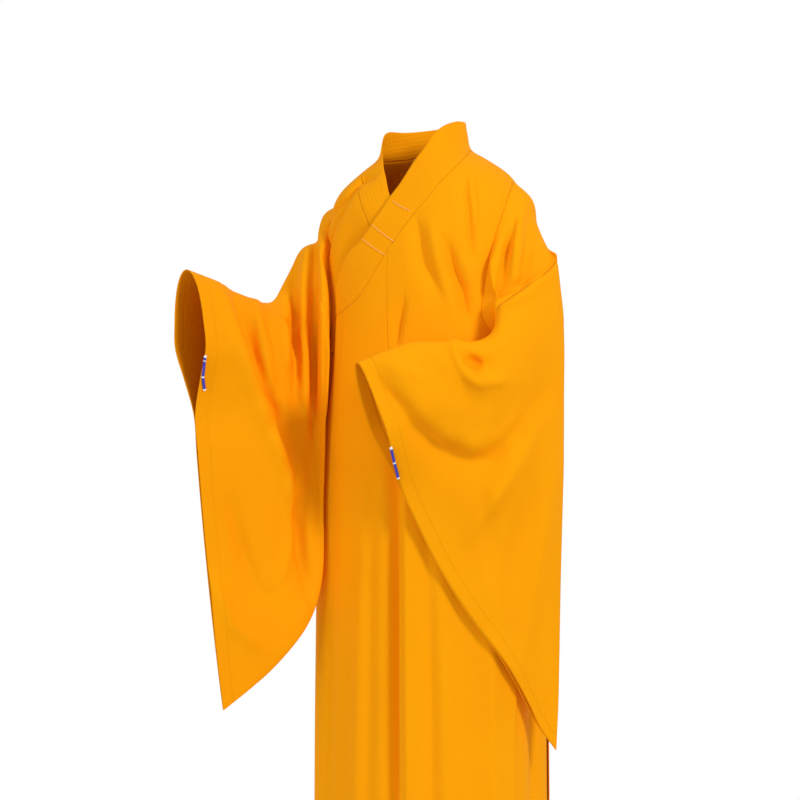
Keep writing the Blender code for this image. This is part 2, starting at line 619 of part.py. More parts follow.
def add_collar():
    """The collar band, one strip that crosses itself left over right."""
    stretches = list(collar_stations().values())
    at = np.concatenate([stretches[0]] + [stretch[1:] for stretch in stretches[1:]])
    part = {name: read(COLLAR, COLLAR_COLUMNS, name, at)[:, None] for name in COLLAR_COLUMNS}
    share = np.linspace(0, 1, 4)[None, :]
    across = (part["edge_angle"] - part["seam_angle"]) * radians(1) * 0.1
    rise = part["edge_level"] - part["seam_level"]
    start = COLLAR_GAP / np.hypot(across, rise)
    share = start + (1 - start) * share
    angle = part["seam_angle"] + (part["edge_angle"] - part["seam_angle"]) * share
    level = part["seam_level"] + rise * share
    turned = (angle + 180) % 360 - 180
    is_outer = part["seam_angle"] < -180
    lift = np.where(is_outer, outer_lift(turned, level), under_lift(turned, level))
    add_cloth("collar", torso_cloth(angle, level, lift), False, "collar")


def sleeve_start(side):
    """The upper sleeve's armhole turn for each step round the bag."""
    around = 2 * pi * np.arange(ROUND_SLEEVE) / ROUND_SLEEVE
    steps = np.arange(ROUND_SLEEVE) / ROUND_SLEEVE
    armpit = (LEFT_ARMPIT_STEP if side > 0 else RIGHT_ARMPIT_STEP) / ROUND_SLEEVE
    turn = side * (steps - armpit)
    return around, turn % 1.0


def sleeve_bag(side, rows, around):
    """All the loops of one sleeve bag, from the seam with the upper sleeve to the mouth."""
    table, folds = (LEFT_SLEEVE, LEFT_SLEEVE_FOLDS) if side > 0 else (RIGHT_SLEEVE, RIGHT_SLEEVE_FOLDS)
    points = sleeve_points(table, folds, np.linspace(0, 1, rows + 1), around)
    if side < 0:
        return points
    first = points[0]
    front = np.clip(np.sin(around), 0, 1)[:, None] ** 1.2
    tucked = first + (first.mean(axis=0) - first) * 0.14 * front
    tucked[:, 2:] -= CREST_TUCK * front
    tucked[:, 2:] += SEAM_ROW * (1 - front)
    return np.concatenate([clear_of_torso(tucked[None], layer_clearance(around)), points])


def whole_sleeve(side, folds):
    """All the loops of a sleeve, from the armhole to the mouth, on one surface."""
    around, turn = sleeve_start(side)
    bag = sleeve_bag(side, SLEEVE_ROWS, around)
    angle, level = armhole(side, turn)
    panel_lift = outer_lift(angle, level) if side > 0 else under_lift(angle, level)
    folded_back = np.clip(np.maximum(np.sin(2 * pi * turn), np.cos(2 * pi * turn)), 0, 1) ** 0.5
    start = torso_cloth(angle, level, LAP + LAP * folded_back + panel_lift)
    share = np.linspace(0, 1, UPPER_ROWS + 1)[:-1, None, None]
    points = start[None] * (1 - share) + bag[:1] * share
    outward = loop_normals(points)
    middle = np.sin(pi * share[..., 0]) * (1 - share[..., 0])
    rise = fold_rise(in_view(points), folds) * MM * ease(middle * 4)
    points = points + outward * (SLEEVE_PUFF * middle + rise)[..., None]
    back_layer = ease(0.5 - np.sin(around) * 2)[None, :]
    room = LAP + (layer_clearance(around) - LAP)[None, :] * ease(share[..., 0] * 4)
    room = room + (UPPER_CLEARANCE + UPPER_STEP * share[..., 0] - room) * back_layer * ease(share[..., 0] * 4)
    points[1:] = clear_of_torso(points, room)[1:]
    room = np.concatenate([room, np.broadcast_to(layer_clearance(around), bag.shape[:2])])
    points = np.concatenate([points, bag])
    return evened(points, around, room) if side > 0 else points


def evened(points, around, room):
    """The left sleeve with its hidden back layer drawn even between armhole and bag, clear of the torso."""
    rows = np.arange(len(points))
    hidden = ease(EVEN_REACH - 1.6 * np.sin(around - EVEN_TURN))
    share = ease(rows / 2)[:, None] * ease((EVEN_ROWS - rows) / 5)[:, None] * hidden
    for _ in range(EVEN_PASSES):
        along = (points[:-2] + points[2:]) / 2
        across = (np.roll(points, 1, axis=1) + np.roll(points, -1, axis=1))[1:-1] / 2
        points[1:-1] += (0.5 * along + 0.5 * across - points[1:-1]) * share[1:-1, :, None]
        points += (clear_of_torso(points, room) - points) * ease(share * 8)[..., None]
    return points


def parted(rows, at_start):
    """Rows with their first or last loop drawn back by half of a seam's gap."""
    rows = rows.copy()
    end, next_to_it = (0, 1) if at_start else (-1, -2)
    back = rows[next_to_it] - rows[end]
    rows[end] += back / np.linalg.norm(back, axis=1)[:, None] * SLEEVE_SEAM_GAP
    return rows


def add_layers(name, rows):
    """The front and the back layer of a bag, parted along its two edges."""
    around = np.concatenate([rows, rows[:, :1]], axis=1)
    layers = {"_front": around[:, :ARM_ROWS + 1], "_back": around[:, ARM_ROWS:]}
    for layer, other in (("_front", "_back"), ("_back", "_front")):
        steps = np.swapaxes(layers[layer], 0, 1)
        steps = parted(parted(steps, True), False)
        add_cloth(name + layer, np.swapaxes(steps, 0, 1), False, "sleeve", layers[other].mean(axis=(0, 1)))


def add_sleeves():
    """Each sleeve's upper part, from the armhole, and the two layers of its bag, from there to the mouth."""
    for side, name, folds, seam in ((1, "sleeve_left", UPPER_LEFT_FOLDS, LEFT_SEAM_LOOP),
                                    (-1, "sleeve_right", UPPER_RIGHT_FOLDS, RIGHT_SEAM_LOOP)):
        rows = whole_sleeve(side, folds)
        add_cloth(name + "_upper", parted(rows[:seam + 1], False), True, "sleeve")
        add_layers(name, parted(rows[seam:], True))


for old in list(bpy.data.objects):
    bpy.data.objects.remove(old, do_unlink=True)
parts = bpy.data.collections.new("monk_robe")
bpy.context.scene.collection.children.link(parts)
add_backs()
add_left_front()
add_overlap()
add_underlap()
add_gores()
add_collar()
add_sleeves()
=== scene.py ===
# %% [markdown]
# # A wide-sleeved monk robe
# The robe hangs as it does when worn, with the left sleeve bent across the front and the right one held
# out. On the real object it is sewn from plain woven cloth. Each piece here is a thin sheet on the same
# surface as its solid, because cloth shows its cut through the way it hangs.

import bpy
import numpy as np
from math import cos, pi, radians, sin
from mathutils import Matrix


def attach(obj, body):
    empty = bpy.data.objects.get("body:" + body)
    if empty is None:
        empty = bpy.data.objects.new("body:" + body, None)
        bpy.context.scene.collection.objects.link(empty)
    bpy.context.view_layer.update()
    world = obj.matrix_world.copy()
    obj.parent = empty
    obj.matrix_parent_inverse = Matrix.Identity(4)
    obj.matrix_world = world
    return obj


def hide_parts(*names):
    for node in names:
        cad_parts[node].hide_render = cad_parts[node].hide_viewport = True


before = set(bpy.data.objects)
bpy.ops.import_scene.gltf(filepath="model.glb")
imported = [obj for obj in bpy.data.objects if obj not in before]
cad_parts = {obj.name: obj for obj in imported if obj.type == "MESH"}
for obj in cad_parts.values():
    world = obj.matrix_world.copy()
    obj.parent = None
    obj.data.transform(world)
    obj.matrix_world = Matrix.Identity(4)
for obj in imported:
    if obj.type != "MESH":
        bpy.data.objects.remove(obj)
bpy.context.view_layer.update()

# %% [markdown]
# The walls, gaps and row counts are the ones that shape the solids. The sheets are closer together at their
# seams, where the real pieces are sewn, and their rows are divided further so that narrow creases show.

# %% Numbers of the walls
WALL = 0.0015
GAP = 0.0003
SEAM_HALF_GAP = 0.00005
COLLAR_GAP = 0.0005
LAP = WALL + GAP
OUTER_LIFT = 0.0046
PANEL_STEPS = 9
OVERLAP_STEPS = 12
BELOW_ARM_ROWS = 12
SHOULDER_ROWS = 4
ROUND_SLEEVE = 36
ARM_ROWS = ROUND_SLEEVE // 2
HEM = -1.38
ARMPIT = -0.385
SHEET = 0.0012
SEWN = 0.0004
PANEL_TIMES = 6
SLEEVE_TIMES = 6
ROUND_TIMES = 8

# %% [markdown]
# The torso is a rounded column read from a short table, and the collar is a band across it. Both could be
# modelled by pushing points about, but a table keeps the neighbouring pieces on one surface.

# %% Tables of the torso and the collar
def columns(names, rows):
    """The columns of a table by name."""
    return dict(zip(names.split(), np.array(rows, float).T))


# The torso, a row for each level. Heights of its side, front and back, then its half sizes.
TORSO = columns("level side_up front_up back_up half_width front_depth back_depth shift", (
    (-1.38, -1.38, -1.38, -1.38, 0.224, 0.172, 0.166, 0.018),
    (-1, -1, -1, -1, 0.22, 0.17, 0.162, 0.018),
    (-0.64, -0.64, -0.64, -0.64, 0.212, 0.166, 0.152, 0.016),
    (-0.42, -0.42, -0.42, -0.42, 0.199, 0.155, 0.137, 0.012),
    (-0.3, -0.3, -0.3, -0.3, 0.194, 0.148, 0.126, 0.009),
    (-0.2, -0.19, -0.205, -0.195, 0.196, 0.138, 0.12, 0.006),
    (-0.12, -0.105, -0.135, -0.115, 0.191, 0.123, 0.112, 0.003),
    (-0.06, -0.052, -0.085, -0.052, 0.163, 0.105, 0.096, 0),
    (-0.025, -0.02, -0.05, -0.016, 0.119, 0.09, 0.082, 0),
    (0, 0, -0.022, 0.008, 0.089, 0.078, 0.072, 0),
    (0.03, 0.03, 0.008, 0.036, 0.08, 0.072, 0.068, 0),
    (0.06, 0.058, 0.036, 0.062, 0.075, 0.069, 0.067, 0),
))
TORSO_POWER = 2.3
SHOULDER_TILT = 0.06
TORSO_RADIUS = 0.2

# The collar band, a row for each station from the end under the overlap, round the neck, to the outer end.
COLLAR = columns("seam_angle seam_level edge_angle edge_level", (
    (4, -0.235, 22, -0.165),
    (-12, -0.185, 12, -0.125),
    (-24, -0.14, 0, -0.09),
    (-34, -0.098, -12, -0.056),
    (-46, -0.06, -24, -0.024),
    (-56, -0.036, -44, 0.006),
    (-72, -0.02, -66, 0.04),
    (-95, -0.004, -92, 0.055),
    (-130, 0, -128, 0.056),
    (-180, 0, -180, 0.055),
    (-230, 0, -232, 0.056),
    (-265, -0.004, -270, 0.055),
    (-291, -0.022, -311, 0.048),
    (-316, -0.057, -332.5, 0.018),
    (-329, -0.085, -349, -0.012),
    (-342.5, -0.115, -362, -0.048),
    (-353.5, -0.147, -369, -0.07),
    (-363.5, -0.182, -378, -0.112),
    (-373, -0.22, -388.5, -0.16),
    (-382.5, -0.26, -399, -0.19),
    (-391.5, -0.285, -405, -0.225),
    (-407, -0.308, -409, -0.256),
))
SEAM_STATION = np.linspace(0, 1, len(COLLAR["seam_angle"]))
SHOULDER_SEAM = -92
CROSSING = -364
OUTER_COLLAR_ROWS = 16
UNDERLAP_COLLAR_ROWS = 16

# %% [markdown]
# The edges of the panels are angles round the torso at a few levels. The armhole is one closed line.

# %% Tables of the edges
# Edges of the panels that hang below the collar, as angles from the front at each level.
CENTRE_SEAM = columns("level angle", ((-1.38, 6.5), (-0.9, 6.5), (-0.61, 6), (-0.45, 0.5), (-0.36, -2.5),
                                      (-0.25, -4), (-0.12, -4)))
FREE_EDGE = columns("level angle", ((-1.38, -70), (-1, -69), (-0.655, -64), (-0.56, -57), (-0.465, -51),
                                    (-0.37, -47.5), (-0.308, -47)))
UNDERLAP_EDGE = columns("level angle", ((-1.38, 30), (-0.42, 30), (-0.34, 26), (-0.27, 13), (-0.235, 4)))
UNDER_DEPTH = 0.014
SIDE_SEAM = 90
SLIT = columns("level front_angle back_angle", ((-1.38, 69.5, 112), (-1, 70.5, 110), (-0.75, 76, 104),
                                                (-0.6, 83, 97), (-0.5, 90, 90)))
GORE_TOP = -0.46
GORE_TUCK = 3
GORE_UNDER = 0.0033
GORE_DEPTH = 0.008
PLEAT_DEPTH = 0.012
# The armhole, once round from the armpit by way of the front, on the torso.
ARMHOLE = columns("turn angle level", (
    (0, 90, -0.385),
    (0.08, 71, -0.365),
    (0.15, 58.5, -0.318),
    (0.23, 60, -0.265),
    (0.31, 64.5, -0.212),
    (0.39, 71, -0.16),
    (0.45, 80, -0.115),
    (0.5, 92, -0.083),
    (0.56, 106, -0.105),
    (0.64, 118, -0.155),
    (0.74, 124, -0.225),
    (0.84, 121, -0.295),
    (0.93, 108, -0.355),
    (1, 90, -0.385),
))

# %% [markdown]
# A sleeve is a flat bag, so it is read from loops that run from its top edge to its tip. They are placed in
# the three-quarter view, because that is where their outline is known.

# %% Tables of the sleeves
# The sleeves are placed in the three-quarter view. Across and up are in millimetres from the middle of that
# view, on the upright plane through the neck, and away is the distance behind that plane.
VIEW_TURN = radians(28)
EYE_DISTANCE = 3.5
VIEW_ACROSS = -0.0475
VIEW_UP = -0.4655
MM = 0.001

# A row for each loop of a sleeve bag. The loop runs from its inner point down the front layer to its outer
# point and back up behind. The bow moves its middle sideways, thin and thick give the space between layers.
SLEEVE_COLUMNS = ("in_across in_up in_away out_across out_up out_away bow "
                  "thin thick facing shut behind drop")
LEFT_SLEEVE = columns(SLEEVE_COLUMNS, (
    (151, 158, -196, 296, 262, -140, 6, 34, 16, 20, 0, 62, 145),
    (154, 148, -207, 310, 133, -130, 10, 34, 24, 20, 0, 50, 100),
    (141, 137, -215, 310, 0, -130, 10, 30, 40, 20, 0, 35, 60),
    (118, 122, -220, 306, -152, -130, 8, 27, 52, 20, 0, 18, 25),
    (86, 112, -225, 304, -304, -132, 4, 24, 60, 20, 0, 5, 0),
    (28, 110, -230, 302, -456, -138, -8, 21, 64, 20, 0.1, 0, 0),
    (-28, 93, -235, 300, -570, -146, -24, 17, 66, 20, 0.55, 0, 0),
    (-82, 70, -240, 296, -665, -155, -42, 10, 66, 20, 1, 0, 0),
))
RIGHT_SLEEVE = columns(SLEEVE_COLUMNS, (
    (-190, 281, 66, -131, 60, -45, 4, 44, 20, 20, 0, 60, 100),
    (-222, 218, 60, -134, -100, -52, 6, 36, 30, 28, 0, 45, 62),
    (-240, 188, 40, -138, -230, -55, 8, 30, 42, 36, 0, 30, 32),
    (-264, 184, 10, -150, -350, -62, 8, 27, 52, 42, 0, 15, 12),
    (-292, 194, -30, -180, -432, -80, 6, 24, 58, 47, 0, 4, 0),
    (-330, 212, -80, -236, -503, -100, 0, 20, 60, 50, 0.1, 0, 0),
    (-370, 232, -130, -290, -552, -122, -4, 16, 60, 50, 0.55, 0, 0),
    (-406, 247, -170, -336, -589, -145, -8, 9, 60, 50, 1, 0, 0),
))
HAND_OPENING = 0.2
LAYER_SPACE = 0.0012
CREST_TUCK = 0.022
SEAM_ROW = 0.012
BACK_CLEARANCE = 0.012
FRONT_CLEARANCE = 0.02
UPPER_CLEARANCE = 0.0045
UPPER_STEP = 0.003
SLEEVE_PUFF = 0.018
SLEEVE_ROWS = 17
UPPER_ROWS = 6
LEFT_ARMPIT_STEP = 30
RIGHT_ARMPIT_STEP = 21
EVEN_REACH = 0.4
EVEN_TURN = 0.55
EVEN_ROWS = 16
EVEN_PASSES = 40

# %% [markdown]
# The broad folds are shared with the solids. A fold has a soft bank and a steeper one, as hanging cloth
# does.

# %% Broad folds
# Routes that a broad fold shares with the narrow crease along its middle.
PANEL_EDGE = ((-338, 209), (-317, 152), (-298, 95), (-276, 28), (-247, -38), (-213, -137), (-194, -186))
PANEL_VALLEY = ((-316, 200), (-296, 140), (-275, 80), (-255, 20), (-228, -50), (-196, -140))
PANEL_FOOT = ((-319, -190), (-304, -266), (-270, -361), (-243, -380))
ELBOW_SWAG = ((266, -38), (218, -133), (180, -190), (127, -266))
LEFT_SHOULDER = ((58, -0.06), (55, -0.105), (54, -0.177), (54, -0.217))
LEFT_CHEST = ((40, -0.19), (43.5, -0.235), (48, -0.27), (50, -0.318))
RIGHT_SHOULDER = ((-37, -0.03), (-52, -0.04), (-56, -0.075), (-66, -0.105), (-74, -0.13))
RIGHT_CHEST = ((-50, -0.06), (-56, -0.115), (-64, -0.16), (-70, -0.2))

# Folds, each a route, the width of its left and right banks, and a rise, which stands out where positive.
LEFT_SLEEVE_FOLDS = (
    (((99, 112), (104, 91), (114, 66), (129, 44), (152, 30), (190, 34), (204, 50)), 16, 16, 14),
    (((118, 84), (136, 72), (158, 68)), 16, 16, -14),
    (((-38, 38), (28, -53), (76, -95), (133, -118), (171, -110), (218, -57), (276, 19), (300, 114)),
     34, 34, -14),
    (ELBOW_SWAG, 40, 40, 12),
    (((-30, 90), (10, 40), (60, 0), (110, -40)), 34, 34, 7),
    (((294, -114), (256, -342), (228, -513)), 34, 34, 6),
    (((110, -300), (170, -420), (235, -560)), 30, 30, -7),
)
RIGHT_SLEEVE_FOLDS = (
    (PANEL_EDGE, 40, 9, 17),
    (PANEL_VALLEY, 9, 12, -12),
    (((-274, 186), (-262, 95), (-240, 4)), 14, 10, 14),
    (((-222, 176), (-218, 104), (-217, 60)), 20, 14, 14),
    (((-206, 218), (-196, 150), (-196, 60), (-200, 0)), 8, 8, -12),
    (((-179, 304), (-184, 152), (-180, -60)), 12, 10, 10),
    (((-160, 327), (-165, 190), (-165, -60)), 9, 9, -12),
    (((-141, 304), (-144, 152), (-148, -60)), 12, 12, 9),
    (((-215, -137), (-194, -171), (-167, -184)), 12, 16, 10),
    (((-170, -186), (-194, -224), (-208, -256), (-196, -314), (-182, -365)), 14, 22, -7),
    (PANEL_FOOT, 26, 26, -8),
    (((-355, -342), (-319, -428), (-262, -475)), 26, 26, 6),
)
UPPER_LEFT_FOLDS = (
    (((222, 357), (209, 314), (200, 266), (188, 190)), 14, 12, -12),
    (((232, 362), (224, 314), (217, 240)), 12, 12, 8),
    (((247, 370), (246, 294), (240, 209)), 12, 12, -7),
    (((196, 300), (180, 250), (166, 200)), 12, 12, 7),
)
UPPER_RIGHT_FOLDS = (
    (((-150, 350), (-179, 304), (-186, 230)), 14, 12, 9),
    (((-130, 345), (-158, 300), (-163, 190)), 10, 10, -10),
    (((-118, 330), (-141, 290), (-145, 170)), 12, 12, 8),
)
# On the torso the routes are angles and levels, and the banks and rise are in millimetres.
TORSO_FOLDS = (
    (LEFT_SHOULDER, 12, 9, -7),
    (LEFT_CHEST, 20, 14, -13),
    (((19.5, -0.132), (25, -0.22), (35, -0.275)), 24, 24, -8),
    (((30, -0.15), (35, -0.22), (42, -0.3)), 18, 18, 7),
    (((10, -0.29), (4, -0.37)), 20, 10, -7),
    (RIGHT_SHOULDER, 12, 12, -7),
    (RIGHT_CHEST, 12, 12, -6),
    (((4, -0.56), (4.5, -0.8), (4.5, -1.38)), 26, 5, -10),
    (((12, -0.52), (13, -0.8), (14, -1.38)), 9, 34, 10),
    (((40, -0.62), (42, -0.9), (44, -1.38)), 40, 40, -8),
    (((-30, -0.52), (-32, -0.9), (-34, -1.38)), 44, 44, -7),
    (((-56, -0.48), (-58, -0.9), (-60, -1.38)), 26, 26, 6),
    (((150, -0.14), (148, -0.5), (146, -1.38)), 26, 26, -12),
    (((168, -0.3), (166, -0.7), (165, -1.38)), 24, 24, 9),
    (((-150, -0.16), (-147, -0.6), (-145, -1.38)), 26, 26, -11),
    (((-166, -0.34), (-165, -0.7), (-163, -1.38)), 24, 24, 8),
    (((128, -0.42), (128, -0.8), (127, -1.38)), 24, 24, 9),
    (((-126, -0.42), (-127, -0.8), (-126, -1.38)), 24, 24, 9),
)

# %% [markdown]
# Creases are the narrow part of a fold, where the cloth bends sharply. They follow the same lines as the
# broad folds on the body, and similar ones run down the sides and the back.

# %% Narrow creases of the body
TORSO_CREASES = (
    (LEFT_SHOULDER, 4.8, 4, -4),
    (((63, -0.05), (60, -0.1), (58, -0.16)), 6, 4.8, -4),
    (LEFT_CHEST, 8.4, 6, -6),
    (((19.5, -0.132), (25, -0.22), (35, -0.275)), 10.8, 8.4, -4),
    (((10, -0.29), (4, -0.37)), 7.2, 4, -4),
    (RIGHT_SHOULDER, 4.8, 4.8, -4),
    (RIGHT_CHEST, 4.8, 4.8, -4),
    (((4.2, -0.5), (4.6, -0.8), (4.8, -1.38)), 18, 4, -10),
    (((8.2, -0.5), (8.6, -0.9), (9, -1.38)), 4, 18, 8),
    (((24, -0.7), (25, -1), (27, -1.38)), 16.8, 12, -6),
    (((32, -0.8), (34, -1.1), (36, -1.38)), 14.4, 19.2, 6),
    (((56, -0.6), (57, -1), (58, -1.38)), 14.4, 14.4, 6),
    (((-14, -0.62), (-15, -1), (-17, -1.38)), 14.4, 21.6, -6),
    (((-22, -0.8), (-24, -1.1), (-25, -1.38)), 14.4, 14.4, 4),
    (((-44, -0.55), (-46, -1), (-48, -1.38)), 12, 16.8, -6),
    (((160, -0.1), (158, -0.4), (157, -0.9)), 10.8, 10.8, -6),
    (((140, -0.45), (138, -0.9), (136, -1.38)), 16.8, 12, 6),
    (((175, -0.5), (174, -0.9), (173, -1.38)), 12, 16.8, 4),
    (((-158, -0.12), (-157, -0.5), (-155, -1)), 10.8, 10.8, -6),
    (((-138, -0.5), (-136, -0.9), (-134, -1.38)), 16.8, 12, 6),
    (((-174, -0.45), (-173, -0.9), (-171, -1.38)), 16.8, 12, 4),
)
TORSO_FOLDS += TORSO_CREASES
print("body folds", len(TORSO_FOLDS))

# %% [markdown]
# On the sleeves the creases gather where the sleeves bend and swing down in swags, because the cloth hangs
# from there.

# %% Narrow creases of the sleeves
LEFT_CREASES = (
    (((154, 160), (162, 182), (181, 201), (228, 218), (276, 258)), 7, 10, -9),
    (((156, 148), (170, 168), (190, 186), (232, 203), (283, 243)), 14, 8, 7),
    (((99, 112), (104, 91), (114, 66), (129, 44), (152, 30), (190, 34), (200, 47)), 7, 9.5, 7),
    (((118, 84), (136, 72), (158, 68)), 10.8, 10.8, -10),
    (((-30, 30), (28, -53), (76, -95), (133, -118), (171, -110), (218, -57), (276, 19)), 16.2, 12.2, -8),
    (((-10, 60), (40, -20), (85, -62), (140, -85), (190, -70), (240, -20)), 16.2, 18.9, 7),
    (ELBOW_SWAG, 18.9, 13.5, 8),
    (((294, -114), (256, -342), (228, -513)), 13.5, 18.9, 7),
    (((270, -60), (235, -220), (205, -380)), 16.2, 13.5, -5),
    (((150, -170), (190, -330), (240, -500)), 16.2, 16.2, -5),
    (((222, 357), (209, 314), (200, 266), (186, 196)), 7, 7, -8),
    (((228, 357), (222, 300), (217, 218)), 7, 7, 5),
    (((241, 370), (240, 290), (236, 209)), 8.1, 8.1, -5),
    (((-60, 60), (-30, 20), (10, -20)), 13.5, 10.8, -5),
    (((-40, 75), (0, 60), (50, 40)), 13.5, 13.5, 5),
)
RIGHT_CREASES = (
    (PANEL_EDGE, 16.2, 7, 10),
    (PANEL_VALLEY, 7, 7, -10),
    (((-274, 186), (-262, 95), (-240, 4)), 8.1, 7, 8),
    (((-222, 176), (-218, 104), (-217, 60)), 10.8, 8.1, 8),
    (((-238, 184), (-207, 143), (-200, 114), (-203, 86)), 7, 7, -10),
    (((-190, 285), (-203, 219), (-194, 95), (-200, 0)), 7, 7, -8),
    (((-182, 260), (-182, 100), (-180, -30)), 7, 7, 7),
    (((-163, 330), (-165, 190), (-165, -20)), 7, 7, -8),
    (((-143, 304), (-144, 152), (-146, -20)), 7, 7, 7),
    (((-215, -137), (-205, -200), (-212, -290), (-222, -340)), 10, 8, 8),
    (((-198, -150), (-200, -220), (-190, -300), (-176, -372)), 8, 20, -15),
    (PANEL_FOOT, 12.2, 12.2, -8),
    (((-355, -342), (-319, -428), (-262, -475)), 12.2, 12.2, 7),
)
print("sleeve creases", len(LEFT_CREASES) + len(RIGHT_CREASES))

# %% [markdown]
# Short functions read the tables as smooth curves, so that a few rows are enough.

# %% Read the tables
def size_of(steps):
    """Lengths of vectors."""
    return np.linalg.norm(steps, axis=-1)


def across_rows(points):
    """Distance of each point from the start of its row."""
    return size_of(np.diff(points, axis=1, prepend=points[:, :1])).cumsum(axis=1)


def spline(keys, values, at):
    """Smooth curve through the values at rising keys."""
    at = np.clip(np.asarray(at, float), keys[0], keys[-1])
    steps = np.diff(keys)
    slopes = np.diff(values) / steps
    tangents = np.empty_like(values)
    tangents[1:-1] = (slopes[:-1] * steps[1:] + slopes[1:] * steps[:-1]) / (steps[:-1] + steps[1:])
    tangents[0] = slopes[0]
    tangents[-1] = slopes[-1]
    k = np.clip(np.searchsorted(keys, at, side="right") - 1, 0, len(keys) - 2)
    h = steps[k]
    t = (at - keys[k]) / h
    start = (2 * t**3 - 3 * t**2 + 1) * values[k] + (t**3 - 2 * t**2 + t) * h * tangents[k]
    end = (3 * t**2 - 2 * t**3) * values[k + 1] + (t**3 - t**2) * h * tangents[k + 1]
    return start + end


def read(values, at):
    """A column of a table, smoothed between rows that are evenly spaced from 0 to 1."""
    return spline(np.linspace(0, 1, len(values)), values, at)


def ease(value):
    """Smooth step from 0 to 1."""
    value = np.clip(value, 0, 1)
    return value * value * (3 - 2 * value)

# %% [markdown]
# The torso surface carries its folds along its own normal, which keeps a fold even where the surface turns
# away.

# %% Torso surface
def torso(angle, level):
    """Point of the plain torso surface. The angle is 0 at the front and 90 at the wearer's left."""
    angle, level = np.broadcast_arrays(np.asarray(angle, float), np.asarray(level, float))
    side_up, front_up, back_up, half_width, front_depth, back_depth, shift = [
        spline(TORSO["level"], values, level) for values in tuple(TORSO.values())[1:]]
    across = np.sin(np.radians(angle))
    ahead = np.cos(np.radians(angle))
    depth = np.where(ahead > 0, front_depth, back_depth)
    middle_up = np.where(ahead > 0, front_up, back_up)
    power = TORSO_POWER
    radius = ((np.abs(across) / half_width) ** power + (np.abs(ahead) / depth) ** power) ** (-1 / power)
    tilt = SHOULDER_TILT * radius * across * ease((level + 0.35) / 0.28)
    up = side_up * across**2 + middle_up * ahead**2 + tilt
    return np.stack([radius * across + shift, -radius * ahead, up], -1)

# %% [markdown]
# A fold is a soft ridge or trough along a route. It could be a displace modifier with a painted map, but a
# route is easier to place, and the cloth keeps its thickness along the surface's normal.

# %% Folds on the torso
def fold_rise(points, folds):
    """Height that the folds add at flat points, from the distance to each route."""
    rise = np.zeros(points.shape[:-1])
    for route, left_bank, right_bank, height in folds:
        route = np.array(route, float)
        best = np.full(rise.shape, 1e9)
        side = np.zeros(rise.shape)
        along = np.zeros(rise.shape)
        lengths = np.linalg.norm(np.diff(route, axis=0), axis=1)
        total = lengths.sum()
        done = 0.0
        for start, end, length in zip(route[:-1], route[1:], lengths):
            run = (end - start) / length
            offset = points - start
            t = np.clip(offset @ run, 0, length)
            away = offset - t[..., None] * run
            distance = size_of(away)
            turn = away[..., 0] * run[1] - away[..., 1] * run[0]
            nearer = distance < best
            best = np.where(nearer, distance, best)
            side = np.where(nearer, turn, side)
            along = np.where(nearer, (done + t) / total, along)
            done += length
        bank = np.where(side > 0, left_bank, right_bank)
        taper = 0.35 + 0.65 * np.sin(pi * np.clip(along, 0, 1)) ** 0.7
        rise += height * taper * np.exp(-(best / bank) ** 2)
    return rise


def torso_cloth(angle, level, lift):
    """Torso points with their folds, moved out by the lift."""
    angle, level, lift = np.broadcast_arrays(angle, level, lift)
    small = 0.25
    tiny = 0.0015
    base = torso(angle, level)
    over = torso(angle + small, level) - torso(angle - small, level)
    up = torso(angle, level + tiny) - torso(angle, level - tiny)
    outward = np.cross(over, up)
    outward /= size_of(outward)[..., None]
    routes = [([(radians(turn) * TORSO_RADIUS / MM, height / MM) for turn, height in route], *rest)
              for route, *rest in TORSO_FOLDS]
    turned = (angle + 180) % 360 - 180
    rise = np.zeros(angle.shape)
    for lap in (-360, 0, 360):
        flat = np.stack([np.radians(turned + lap) * TORSO_RADIUS / MM, level / MM], -1)
        rise += fold_rise(flat, routes)
    return base + outward * (rise * MM + lift)[..., None]

# %% [markdown]
# Points go between the robe and the three-quarter view with one pair of functions. Each sleeve is then held
# clear of the torso, because the layers of the real robe only touch.

# %% The view and the room between layers
def from_view(across, up, away):
    """Place a point given in the three-quarter view."""
    spread = (EYE_DISTANCE + away) / EYE_DISTANCE
    side = across * spread + VIEW_ACROSS
    x = side * cos(VIEW_TURN) - away * sin(VIEW_TURN)
    y = side * sin(VIEW_TURN) + away * cos(VIEW_TURN)
    return np.stack([x, y, up * spread + VIEW_UP], -1)


def in_view(points):
    """Across and up, in millimetres, where a point shows in the three-quarter view."""
    side = points[..., 0] * cos(VIEW_TURN) + points[..., 1] * sin(VIEW_TURN)
    away = points[..., 1] * cos(VIEW_TURN) - points[..., 0] * sin(VIEW_TURN)
    spread = (EYE_DISTANCE + away) / EYE_DISTANCE * MM
    return np.stack([(side - VIEW_ACROSS) / spread, (points[..., 2] - VIEW_UP) / spread], -1)


def clear_of_torso(points, clearance):
    """Push points out sideways until they clear the torso, with a soft start."""
    level = np.clip(points[..., 2], HEM, -0.14)
    shift = spline(TORSO["level"], TORSO["shift"], level)
    x = points[..., 0] - shift
    y = points[..., 1]
    angle = np.degrees(np.arctan2(x, -y))
    wall = torso_cloth(angle, level, 0.0)
    needed = np.hypot(wall[..., 0] - shift, wall[..., 1]) + clearance
    radius = np.hypot(x, y)
    soft = 0.004
    grown = needed + soft * np.log1p(np.exp(np.clip((radius - needed) / soft, -50, 50)))
    scale = np.where(radius > needed + 8 * soft, 1.0, grown / radius)
    moved = points.copy()
    moved[..., 0] = x * scale + shift
    moved[..., 1] = y * scale
    return moved

# %% [markdown]
# A sleeve's loops go down its front layer and back up its back layer. The mouth is sewn together below the
# hand opening.

